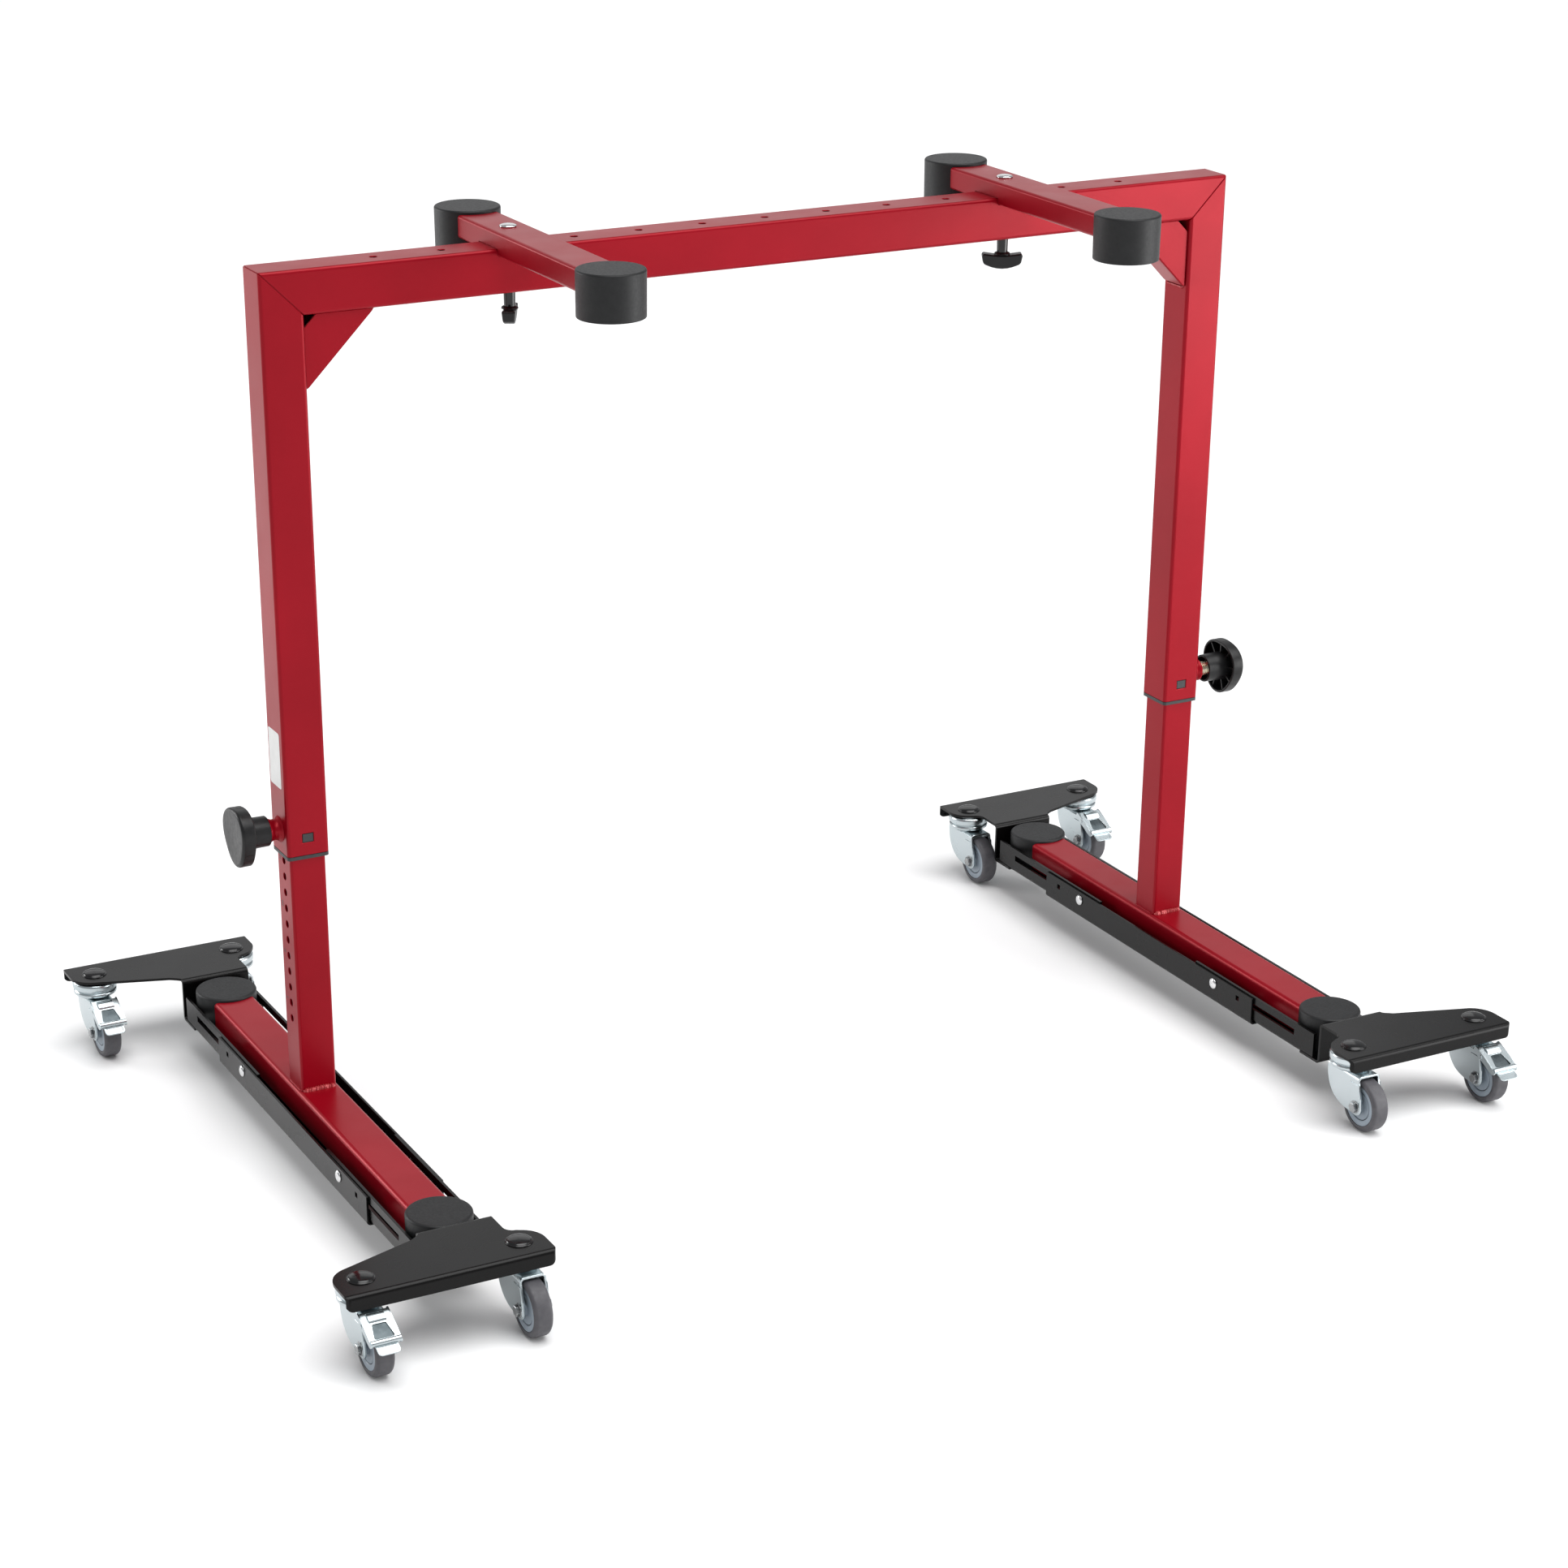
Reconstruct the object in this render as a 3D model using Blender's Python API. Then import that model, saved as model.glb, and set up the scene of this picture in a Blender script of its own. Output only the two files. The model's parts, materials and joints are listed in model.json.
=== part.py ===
"""Table-style keyboard stand standing on two castor trolleys.

A welded bridge (crossbeam and two outer legs) telescopes on two inner legs,
each welded to a foot tube. Each foot lies on rubber end discs in a steel
trolley: an outer channel with a sliding caster carrier at either end.

X runs along the crossbeam, -Y is the player's side, Z is up from the floor.
Shapes are drawn in millimetres and scaled to metres when an object is made.
"""

import math

import bmesh
import bpy
from mathutils import Matrix, Vector

MM = 0.001
GAP = 0.3

# Bridge
LEG_X = 457.0
TUBE = 38.5
OUTER_WALL = 1.5
TUBE_ROUND = 3.0
BEAM_TOP = 807.0
SLEEVE_BOTTOM = 296.0
BEAM_HOLE_PITCH = 61.3
BEAM_HOLES_PER_SIDE = 6
BEAM_HOLE_R = 3.3
GUSSET_LEG = 62.0
GUSSET_CLIP = 11.0
GUSSET_WIDTH = 31.0
GUSSET_SHEET = 2.0
GUSSET_LIP = 3.0
BUSH_RIM = 3.2
BUSH_LENGTH = 48.0
WINDOW_WIDTH = 10.5
WINDOW_HEIGHT = 8.5
WINDOW_UP = 16.0

# Support arms
ARM_X = 4 * BEAM_HOLE_PITCH
ARM_WIDTH = 37.5
ARM_HEIGHT = 20.0
ARM_WALL = 1.5
ARM_NOTCH = 6.0
ARM_CAP_REAR = 86.0
ARM_CAP_FRONT = 201.0
CAP_R = 29.0
CAP_HEIGHT = 39.0
CAP_PROUD = 3.0
CAP_PLUG = 24.0
PLUG_CLEAR = 1.2
BOLT_R = 2.9
BOLT_HEAD_R = 7.4
BOLT_HEAD = 2.4
BOLT_TAIL = 13.0

# Wing knobs under the beam
WING_HUB_R = 5.2
WING_HUB = 16.0
WING_SPAN = 37.0
WING_HEIGHT = 14.5
WING_THICK = 12.0
WING_TURN = {"left": math.radians(62), "right": math.radians(-27)}

# Height locks
HOLE_PITCH = 15.15
FIRST_HOLE = 135.6
LEG_HOLES = 29
LOCK_HOLE = 12
LEG_HOLE_R = 3.5
PIN_R = 3.0
BOSS_R = 11.5
BOSS_LENGTH = 11.5
BOSS_BORE_R = 7.2
COLLAR_R = 6.9
KNOB_R = 26.5
KNOB_LOBE = 1.6
KNOB_TURN = math.radians(37)
KNOB_DISC = 12.5
KNOB_FACE_OUT = 62.0
HUB_R = 13.6
HUB_BORE_R = 12.0
HUB_CUP = 7.5
RIGHT_KNOB_OUT = 6.5
PIN_ENGAGES = 5.0

# Inner legs and feet
INNER = 33.0
TUBE_WALL = 2.0
INNER_TOP = 606.0
FOOT_TOP = 69.0
FOOT_WIDTH = 39.6
FOOT_HEIGHT = 30.0
FOOT_ROUND = 4.0
FOOT_CAP = 260.0

# Trolley, measured from its own centre
TROLLEY_Y = -31.0
CHANNEL_FLOOR = 31.0
CHANNEL_HALF = 35.6
CHANNEL_SHEET = 2.0
CHANNEL_HEIGHT = 27.5
CHANNEL_HALF_LENGTH = 185.0
SCREW_V = 120.7
SQUARE_V = 161.0
SCREW_UP = 19.0
SCREW_R = 2.6
SQUARE_HALF = 2.4
SLIDE_HALF = 33.3
SLIDE_SHEET = 2.5
SLIDE_SIDE_TOP = 29.0
SLIDE_INNER_END = 86.0
SLIDE_SIDE_END = 281.5
SLOT_START = 96.0
SLOT_END = 251.0
SLOT_HALF = 2.9
WEB_V = 289.6
PLATE_TOP = 74.5
PLATE_EDGE = 371.0
PLATE_OUTBOARD = 127.0
PLATE_INBOARD = 58.0
FLANGE_HEIGHT = 14.0

# Casters
CASTER_OUTBOARD = 103.5
CASTER_INBOARD = 35.6
CASTER_V = 344.0
WHEEL_R = 25.0
WHEEL_WIDTH = 17.0
TRAIL = 24.6
FORK_OUT = 12.0
FORK_SHEET = 2.2
FORK_CROWN = 55.0
FORK_CROWN_SHEET = 2.5
CROWN_HALF = 22.5
CROWN_MID = -3.5
SWIVEL_R = 21.5
SWIVEL_NECK_R = 19.0
AXLE_R = 3.0
HUB_SPACER_R = 5.0

# Brake pedals
PEDAL_PIVOT = (-TRAIL - 1.5, 52.5)
PEDAL_SLOPE = math.radians(27)
PEDAL_LENGTH = 38.0

TAB_START = 27.5
TAB_HALF = 10.0
TAB_UNDER = 1.2
TAB_OVER = 0.4

# The origin is below the middle of the whole object: the flange of the rear
# plate is its rearmost point and the tip of a brake pedal its foremost one.
PEDAL_REACH = (
    PEDAL_LENGTH * math.cos(PEDAL_SLOPE)
    + TAB_OVER * math.sin(PEDAL_SLOPE)
    - PEDAL_PIVOT[0]
)
REAR_END = TROLLEY_Y + PLATE_EDGE
FRONT_END = TROLLEY_Y - CASTER_V - PEDAL_REACH
MID_Y = 0.5 * (REAR_END + FRONT_END)

RUBY = ("ruby_paint", (0.33, 0.010, 0.022), 0.32, 0.35)
BLACK_STEEL = ("black_steel", (0.022, 0.021, 0.022), 0.42, 0.2)
BLACK_PLASTIC = ("black_plastic", (0.025, 0.025, 0.027), 0.45, 0.0)
GREY_PLASTIC = ("grey_plastic", (0.07, 0.07, 0.072), 0.5, 0.0)
RUBBER = ("rubber", (0.045, 0.045, 0.048), 0.7, 0.0)
ZINC = ("zinc", (0.68, 0.70, 0.72), 0.28, 1.0)
STEEL = ("bright_steel", (0.75, 0.75, 0.76), 0.2, 1.0)
TYRE = ("tyre_rubber", (0.10, 0.10, 0.11), 0.6, 0.0)


def clear_scene():
    for obj in list(bpy.data.objects):
        bpy.data.objects.remove(obj, do_unlink=True)


def material(finish):
    name, colour, roughness, metallic = finish
    found = bpy.data.materials.get(name)
    if found:
        return found
    made = bpy.data.materials.new(name)
    made.use_nodes = True
    shader = made.node_tree.nodes["Principled BSDF"]
    shader.inputs["Base Color"].default_value = (*colour, 1.0)
    shader.inputs["Roughness"].default_value = roughness
    shader.inputs["Metallic"].default_value = metallic
    made.diffuse_color = (*colour, 1.0)
    return made


def own_material(name, finish):
    """Each node has a material of its own, copied from its finish."""
    made = material(finish).copy()
    made.name = name + "_finish"
    return made


def axis_point(name, place, parent=None, turn=0.0):
    """An empty on a joint's axis, in millimetres and radians about Z."""
    empty = bpy.data.objects.new(name, None)
    empty.empty_display_size = 0.02
    bpy.context.scene.collection.objects.link(empty)
    empty.parent = parent
    empty.location = Vector(place) * MM
    empty.rotation_euler = (0.0, 0.0, turn)
    return empty


def place_mesh(name, shape, finish, parent=None, place=(0, 0, 0), turn=0.0):
    """Make an object from a bmesh drawn in millimetres about its own origin."""
    bmesh.ops.recalc_face_normals(shape, faces=shape.faces)
    bmesh.ops.scale(shape, vec=(MM, MM, MM), verts=shape.verts)
    mesh = bpy.data.meshes.new(name)
    shape.to_mesh(mesh)
    shape.free()
    mesh.shade_smooth()
    mesh.set_sharp_from_angle(angle=math.radians(35))
    mesh.materials.append(own_material(name, finish))
    obj = bpy.data.objects.new(name, mesh)
    bpy.context.scene.collection.objects.link(obj)
    obj.parent = parent
    obj.location = Vector(place) * MM
    obj.rotation_euler = (0.0, 0.0, turn)
    return obj


# Outlines and solids -------------------------------------------------------


def circle(radius, sides, centre=(0.0, 0.0), start=0.0):
    turn = 2 * math.pi / sides
    return [
        (
            centre[0] + radius * math.cos(start + turn * i),
            centre[1] + radius * math.sin(start + turn * i),
        )
        for i in range(sides)
    ]


def arc(centre, radius, start, end, steps):
    """Points on an arc, with angles in degrees and both ends included."""
    angles = [math.radians(start + (end - start) * i / steps) for i in range(steps + 1)]
    return [
        (centre[0] + radius * math.cos(a), centre[1] + radius * math.sin(a))
        for a in angles
    ]


def rounded_box(half_a, half_b, radius, steps=2):
    points = []
    corners = ((1, 1, 0), (-1, 1, 90), (-1, -1, 180), (1, -1, 270))
    for sign_a, sign_b, start in corners:
        centre = (sign_a * (half_a - radius), sign_b * (half_b - radius))
        points += arc(centre, radius, start, start + 90, steps)
    return points


def loft(shape, loops, close_ends=True, ring=False):
    """Join loops of equal length with quads, and cap or close them."""
    rows = [[shape.verts.new(point) for point in loop] for loop in loops]
    pairs = list(zip(rows, rows[1:]))
    if ring:
        pairs.append((rows[-1], rows[0]))
    for low, high in pairs:
        for i in range(len(low)):
            j = (i + 1) % len(low)
            shape.faces.new((low[i], low[j], high[j], high[i]))
    if close_ends and not ring:
        shape.faces.new(rows[0][::-1])
        shape.faces.new(rows[-1])
    return shape


def prism(outline, low, high, axis="z"):
    """Extrude an outline between two planes of the named axis."""

    def at(point, level):
        a, b = point
        return {"z": (a, b, level), "x": (level, a, b), "y": (a, level, b)}[axis]

    loops = [[at(p, level) for p in outline] for level in (low, high)]
    return loft(bmesh.new(), loops)


def box(low, high):
    outline = ((low[0], low[1]), (high[0], low[1]), (high[0], high[1]), (low[0], high[1]))
    return prism(outline, low[2], high[2])


def turned(profile, sides, axis="z"):
    """Turn a closed (radius, height) profile that stays off the axis."""

    def ring(i):
        angle = 2 * math.pi * i / sides
        cosine, sine = math.cos(angle), math.sin(angle)
        points = [(r * cosine, r * sine, h) for r, h in profile]
        if axis == "x":
            points = [(z, x, y) for x, y, z in points]
        return points

    return loft(bmesh.new(), [ring(i) for i in range(sides)], ring=True)


def stacked(levels, sides, axis="z"):
    """A solid turned shape from (radius, height) levels with flat ends."""
    loops = []
    for radius, height in levels:
        points = [(a, b, height) for a, b in circle(radius, sides)]
        if axis == "x":
            points = [(z, x, y) for x, y, z in points]
        loops.append(points)
    return loft(bmesh.new(), loops)


def hollow_section(half_a, half_b, wall, radius, low, high):
    """A tube along Z whose end heights are functions of the outline point."""
    outer = rounded_box(half_a, half_b, radius)
    inner = rounded_box(half_a - wall, half_b - wall, max(radius - wall, 0.8))
    loops = [
        [(a, b, low(a, b)) for a, b in outer],
        [(a, b, high(a, b)) for a, b in outer],
        [(a, b, high(a, b)) for a, b in inner],
        [(a, b, low(a, b)) for a, b in inner],
    ]
    return loft(bmesh.new(), loops, ring=True)


def moved(shape, offset):
    bmesh.ops.translate(shape, vec=Vector(offset), verts=shape.verts)
    return shape


def mirrored(shape, sign_x=1, sign_y=1):
    bmesh.ops.scale(shape, vec=(sign_x, sign_y, 1), verts=shape.verts)
    return shape


def turned_about(shape, angle, axis, centre=(0, 0, 0)):
    spin = Matrix.Rotation(angle, 3, axis)
    bmesh.ops.rotate(shape, cent=Vector(centre), matrix=spin, verts=shape.verts)
    return shape


def temporary(shape, name):
    bmesh.ops.recalc_face_normals(shape, faces=shape.faces)
    mesh = bpy.data.meshes.new(name)
    shape.to_mesh(mesh)
    shape.free()
    obj = bpy.data.objects.new(name, mesh)
    bpy.context.scene.collection.objects.link(obj)
    return obj


def combined(base, tools, operation):
    """Union or cut shapes one after another, and return one new bmesh."""
    body = temporary(base, "combined_base")
    helpers = [temporary(tool, "combined_tool") for tool in tools]
    for number, helper in enumerate(helpers):
        step = body.modifiers.new("step_%d" % number, "BOOLEAN")
        step.operation = operation
        step.solver = "EXACT"
        step.object = helper
    graph = bpy.context.evaluated_depsgraph_get()
    result = bmesh.new()
    evaluated = body.evaluated_get(graph)
    result.from_mesh(evaluated.to_mesh())
    evaluated.to_mesh_clear()
    for obj in [body, *helpers]:
        mesh = obj.data
        bpy.data.objects.remove(obj, do_unlink=True)
        bpy.data.meshes.remove(mesh)
    bmesh.ops.dissolve_degenerate(result, dist=0.001, edges=result.edges)
    return result


def joined(shapes):
    """Several separate closed shapes in one bmesh, for use as one cutter."""
    total = bmesh.new()
    for shape in shapes:
        mesh = bpy.data.meshes.new("joined_part")
        shape.to_mesh(mesh)
        shape.free()
        total.from_mesh(mesh)
        bpy.data.meshes.remove(mesh)
    return total


# Bridge --------------------------------------------------------------------


def crossbeam_shape():
    half = TUBE / 2
    end = LEG_X + half - GAP

    def high(a, b):
        return end - (half - b)

    def low(a, b):
        return -high(a, b)

    # The tube is drawn along Z with b as the height of the section.
    shape = hollow_section(half, half, OUTER_WALL, TUBE_ROUND, low, high)
    for vert in shape.verts:
        a, b, along = vert.co
        vert.co = (along, a, b)
    holes = []
    for k in range(-BEAM_HOLES_PER_SIDE, BEAM_HOLES_PER_SIDE + 1):
        outline = circle(BEAM_HOLE_R, 8, (k * BEAM_HOLE_PITCH, 0.0))
        holes.append(prism(outline, -half - 1, half + 1))
    return combined(shape, [joined(holes)], "DIFFERENCE")


def outer_leg_shape(side):
    """An outer leg about its own axis, with Z from the floor; side is -1 or 1."""
    half = TUBE / 2

    def high(a, b):
        return BEAM_TOP - GAP - (half + side * -1 * a)

    def low(a, b):
        return SLEEVE_BOTTOM

    shape = hollow_section(half, half, OUTER_WALL, TUBE_ROUND, low, high)
    pin_z = FIRST_HOLE + LOCK_HOLE * HOLE_PITCH
    bore = prism(circle(COLLAR_R + GAP, 12, (0.0, pin_z)), half - 4, half + 1, "x")
    if side < 0:
        mirrored(bore, sign_x=-1)
    window_z = SLEEVE_BOTTOM + WINDOW_UP
    window = box(
        (-WINDOW_WIDTH / 2, -half - 1, window_z - WINDOW_HEIGHT / 2),
        (WINDOW_WIDTH / 2, -half + 4, window_z + WINDOW_HEIGHT / 2),
    )
    return combined(shape, [bore, window], "DIFFERENCE")


def gusset_shape(side):
    """A bent-sheet corner brace; the corner is at the origin, inboard is +X."""
    edge, lip = GUSSET_LEG, GUSSET_LIP
    outline = (
        (GUSSET_CLIP, 0.0),
        (edge, 0.0),
        (edge - 1.0, -lip),
        (lip, -edge + 1.0),
        (0.0, -edge),
        (0.0, -GUSSET_CLIP),
    )
    outer = prism(outline, -GUSSET_WIDTH / 2, GUSSET_WIDTH / 2, "y")
    inside = GUSSET_WIDTH / 2 - GUSSET_SHEET
    # On the inner side of the diagonal sheet, a point's x - z equals this.
    back = edge - 1.0 + lip - GUSSET_SHEET * math.sqrt(2)
    over = 12.0
    corner = ((-over, over), (back + over, over), (-over, -back - over))
    hollow = prism(corner, -inside, inside, "y")
    shape = combined(outer, [hollow], "DIFFERENCE")
    return mirrored(shape, sign_x=side)


def guide_bush_shape(side):
    """The plastic sleeve in the mouth of an outer leg, with its snap tab."""
    inner_half = INNER / 2 + GAP
    sleeve_half = TUBE / 2 - OUTER_WALL - GAP
    mouth = SLEEVE_BOTTOM - GAP
    rim = hollow_section(
        TUBE / 2,
        TUBE / 2,
        TUBE / 2 - inner_half,
        TUBE_ROUND,
        lambda a, b: SLEEVE_BOTTOM - BUSH_RIM,
        lambda a, b: mouth,
    )
    sleeve = hollow_section(
        sleeve_half,
        sleeve_half,
        sleeve_half - inner_half,
        1.5,
        lambda a, b: mouth - 1.0,
        lambda a, b: SLEEVE_BOTTOM + BUSH_LENGTH,
    )
    tab_z = SLEEVE_BOTTOM + WINDOW_UP
    tab = box(
        (-WINDOW_WIDTH / 2 + 0.5, -TUBE / 2 + 0.3, tab_z - WINDOW_HEIGHT / 2 + 0.5),
        (WINDOW_WIDTH / 2 - 0.5, -sleeve_half + 0.3, tab_z + WINDOW_HEIGHT / 2 - 0.5),
    )
    body = combined(rim, [sleeve, tab], "UNION")
    pin_z = FIRST_HOLE + LOCK_HOLE * HOLE_PITCH
    bore = prism(circle(PIN_R + 2 * GAP, 10, (0.0, pin_z)), inner_half - 2, TUBE / 2, "x")
    if side < 0:
        mirrored(bore, sign_x=-1)
    return combined(body, [bore], "DIFFERENCE")


# Arms ----------------------------------------------------------------------


def arm_shape():
    """A support arm lying over the beam; Z is measured from the beam's top."""
    half_w, half_h = ARM_WIDTH / 2, ARM_HEIGHT / 2
    shape = hollow_section(
        half_w, half_h, ARM_WALL, 2.5, lambda a, b: -ARM_CAP_FRONT, lambda a, b: ARM_CAP_REAR
    )
    for vert in shape.verts:
        a, b, along = vert.co
        vert.co = (a, along, b + half_h - ARM_NOTCH)
    saddles = [
        prism(circle(CAP_R + GAP, 24, (0.0, y)), -30, 40)
        for y in (-ARM_CAP_FRONT, ARM_CAP_REAR)
    ]
    half_beam = TUBE / 2 + GAP
    notch = box((-half_w - 1, -half_beam, -ARM_NOTCH - 1), (half_w + 1, half_beam, GAP))
    bore = prism(circle(BEAM_HOLE_R, 10), ARM_HEIGHT - 2 * ARM_NOTCH, ARM_HEIGHT + 2)
    return combined(shape, [bore, *saddles, notch], "DIFFERENCE")


def end_cap_shape(height, plug_centre, plug_half_w, plug_half_h, toward):
    """A rubber end disc, its top at 0, with a plug that goes into a tube."""
    chamfer = 1.2
    disc = stacked(
        ((CAP_R, -height), (CAP_R, -chamfer), (CAP_R - chamfer, 0.0)),
        24,
    )
    near, far = CAP_R - 6.0, CAP_R + CAP_PLUG
    low, high = sorted((toward * near, toward * far))
    plug = box(
        (-plug_half_w, low, plug_centre - plug_half_h),
        (plug_half_w, high, plug_centre + plug_half_h),
    )
    return combined(disc, [plug], "UNION")


def arm_bolt_shape():
    """Domed bolt head on the arm and a shank down into the wing knob."""
    top = ARM_HEIGHT - ARM_NOTCH + GAP
    head = ((BOLT_HEAD_R, top), (BOLT_HEAD_R, top + 1.0), (BOLT_HEAD_R - 1.6, top + BOLT_HEAD))
    shank = ((BOLT_R, -TUBE - BOLT_TAIL), (BOLT_R, top))
    return stacked(shank + head, 16)


def wing_knob_shape():
    """A wing knob hanging from the beam; its top face is at 0."""
    hub = stacked(((WING_HUB_R, -WING_HUB - 4), (WING_HUB_R, 0)), 16)
    low, high = -WING_HUB - WING_HEIGHT + 1.0, -WING_HUB + 1.0
    span = WING_SPAN / 2
    outline = (
        (-span, high - 2.0),
        (-span + 3.0, high),
        (-9.0, high - 1.5),
        (9.0, high - 1.5),
        (span - 3.0, high),
        (span, high - 2.0),
        (span - 1.0, low + 6.0),
        (10.0, low),
        (-10.0, low),
        (-span + 1.0, low + 6.0),
    )
    wings = prism(outline, -WING_THICK / 2, WING_THICK / 2, "y")
    body = combined(wings, [hub], "UNION")
    bore = prism(circle(BOLT_R + GAP, 12), -BOLT_TAIL - 1.5, 1)
    return combined(body, [bore], "DIFFERENCE")


# Height locks --------------------------------------------------------------


def boss_shape():
    """The ring welded on the leg's outboard face, along +X from 0."""
    profile = (
        (BOSS_BORE_R, 0.0),
        (BOSS_R, 0.0),
        (BOSS_R, BOSS_LENGTH - 1.0),
        (BOSS_R - 1.0, BOSS_LENGTH),
        (BOSS_BORE_R, BOSS_LENGTH),
    )
    return turned(profile, 20, "x")


def pin_shape():
    """The index pin along +X; its tip is at 0, just off the inner leg's face."""
    collar_start = (TUBE - INNER) / 2 + PIN_ENGAGES + 0.5
    head_start = KNOB_FACE_OUT - INNER / 2 - KNOB_DISC
    return stacked(
        (
            (PIN_R - 0.8, GAP),
            (PIN_R, GAP + 1.0),
            (PIN_R, collar_start),
            (COLLAR_R, collar_start),
            (COLLAR_R, collar_start + 9.0),
            (PIN_R + 1.0, collar_start + 9.0),
            (PIN_R + 1.0, head_start),
        ),
        12,
        "x",
    )


def knob_outline(radius, sides=30):
    points = []
    for i in range(sides):
        angle = 2 * math.pi * i / sides
        reach = radius + KNOB_LOBE * math.cos(3 * (angle - KNOB_TURN))
        points.append((reach * math.cos(angle), reach * math.sin(angle)))
    return points


def height_knob_shape():
    """A three-lobed knob with a hollow back; its outer face is at 0, hub at -X."""
    disc_back = -KNOB_DISC
    hub_end = -(KNOB_FACE_OUT - TUBE / 2 - BOSS_LENGTH)
    loops = []
    for inset, x in ((2.2, 0.0), (0.3, -1.6), (0.0, disc_back), (2.6, disc_back), (3.0, -4.0)):
        loops.append([(x, y, z) for y, z in knob_outline(KNOB_R - inset)])
    disc = loft(bmesh.new(), loops)
    hub = stacked(((HUB_R, hub_end), (HUB_R + 1.0, -3.0)), 20, "x")
    body = combined(disc, [hub], "UNION")
    cup = stacked(((HUB_BORE_R, hub_end - 1), (HUB_BORE_R, hub_end + HUB_CUP)), 20, "x")
    bore = stacked(((PIN_R + 1.3, hub_end), (PIN_R + 1.3, -KNOB_DISC + 1.0)), 12, "x")
    return combined(body, [cup, bore], "DIFFERENCE")


# Legs and feet -------------------------------------------------------------


def inner_leg_shape(side):
    half = INNER / 2
    shape = hollow_section(
        half, half, TUBE_WALL, 2.5, lambda a, b: FOOT_TOP + GAP, lambda a, b: INNER_TOP
    )
    holes = []
    for k in range(LEG_HOLES):
        outline = circle(LEG_HOLE_R, 8, (0.0, FIRST_HOLE + k * HOLE_PITCH), math.pi / 8)
        holes.append(prism(outline, half - 4, half + 1, "x"))
    cutter = joined(holes)
    if side < 0:
        mirrored(cutter, sign_x=-1)
    return combined(shape, [cutter], "DIFFERENCE")


def foot_tube_shape():
    half_w, half_h = FOOT_WIDTH / 2, FOOT_HEIGHT / 2
    reach = FOOT_CAP
    shape = hollow_section(
        half_w, half_h, TUBE_WALL, FOOT_ROUND, lambda a, b: -reach, lambda a, b: reach
    )
    for vert in shape.verts:
        a, b, along = vert.co
        vert.co = (a, along, b + FOOT_TOP - half_h)
    saddles = [
        prism(circle(CAP_R + GAP, 24, (0.0, y)), FOOT_TOP - 50, FOOT_TOP + 10)
        for y in (-reach, reach)
    ]
    return combined(shape, saddles, "DIFFERENCE")


# Trolleys ------------------------------------------------------------------


def channel_shape():
    """The fixed middle channel, open at the top and at both ends."""
    floor, half, sheet = CHANNEL_FLOOR, CHANNEL_HALF, CHANNEL_SHEET
    top = floor + CHANNEL_HEIGHT
    outline = (
        (-half, floor + 2.0),
        (-half + 2.0, floor),
        (half - 2.0, floor),
        (half, floor + 2.0),
        (half, top),
        (half - sheet, top),
        (half - sheet, floor + sheet),
        (-half + sheet, floor + sheet),
        (-half + sheet, top),
        (-half, top),
    )
    shape = prism(outline, -CHANNEL_HALF_LENGTH, CHANNEL_HALF_LENGTH, "y")
    cuts = []
    for side in (-1, 1):
        low, high = sorted((side * (half - 3.0), side * (half + 1.0)))
        for end in (-1, 1):
            screw = circle(SCREW_R, 8, (end * SCREW_V, floor + SCREW_UP))
            cuts.append(prism(screw, low, high, "x"))
            square_v = end * SQUARE_V
            cuts.append(
                box(
                    (low, square_v - SQUARE_HALF, floor + SCREW_UP - SQUARE_HALF),
                    (high, square_v + SQUARE_HALF, floor + SCREW_UP + SQUARE_HALF),
                )
            )
    return combined(shape, [joined(cuts)], "DIFFERENCE")


def plate_outline():
    """The caster plate seen from above: outboard is -a and outward is +b."""
    out_corner = arc((-PLATE_OUTBOARD + 23.0, CASTER_V + 2.0), 23.0, 180, 112, 4)
    in_corner = arc((PLATE_INBOARD - 22.0, CASTER_V + 3.0), 22.0, 70, 0, 4)
    neck = SLIDE_HALF
    points = [
        (-PLATE_OUTBOARD, PLATE_EDGE),
        (-PLATE_OUTBOARD, CASTER_V + 2.0),
    ]
    # The corner arcs bulge towards the trolley, so their b is mirrored.
    points += [(a, 2 * (CASTER_V + 2.0) - b) for a, b in out_corner[1:]]
    points += [(-neck - 6.0, 300.5), (-neck, 294.0), (-neck, WEB_V)]
    points += [(neck, WEB_V), (neck, 304.0)]
    points += [(neck + 3.0, 309.0)]
    points += [(a, 2 * (CASTER_V + 3.0) - b) for a, b in in_corner]
    points += [(PLATE_INBOARD, PLATE_EDGE)]
    return points


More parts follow.
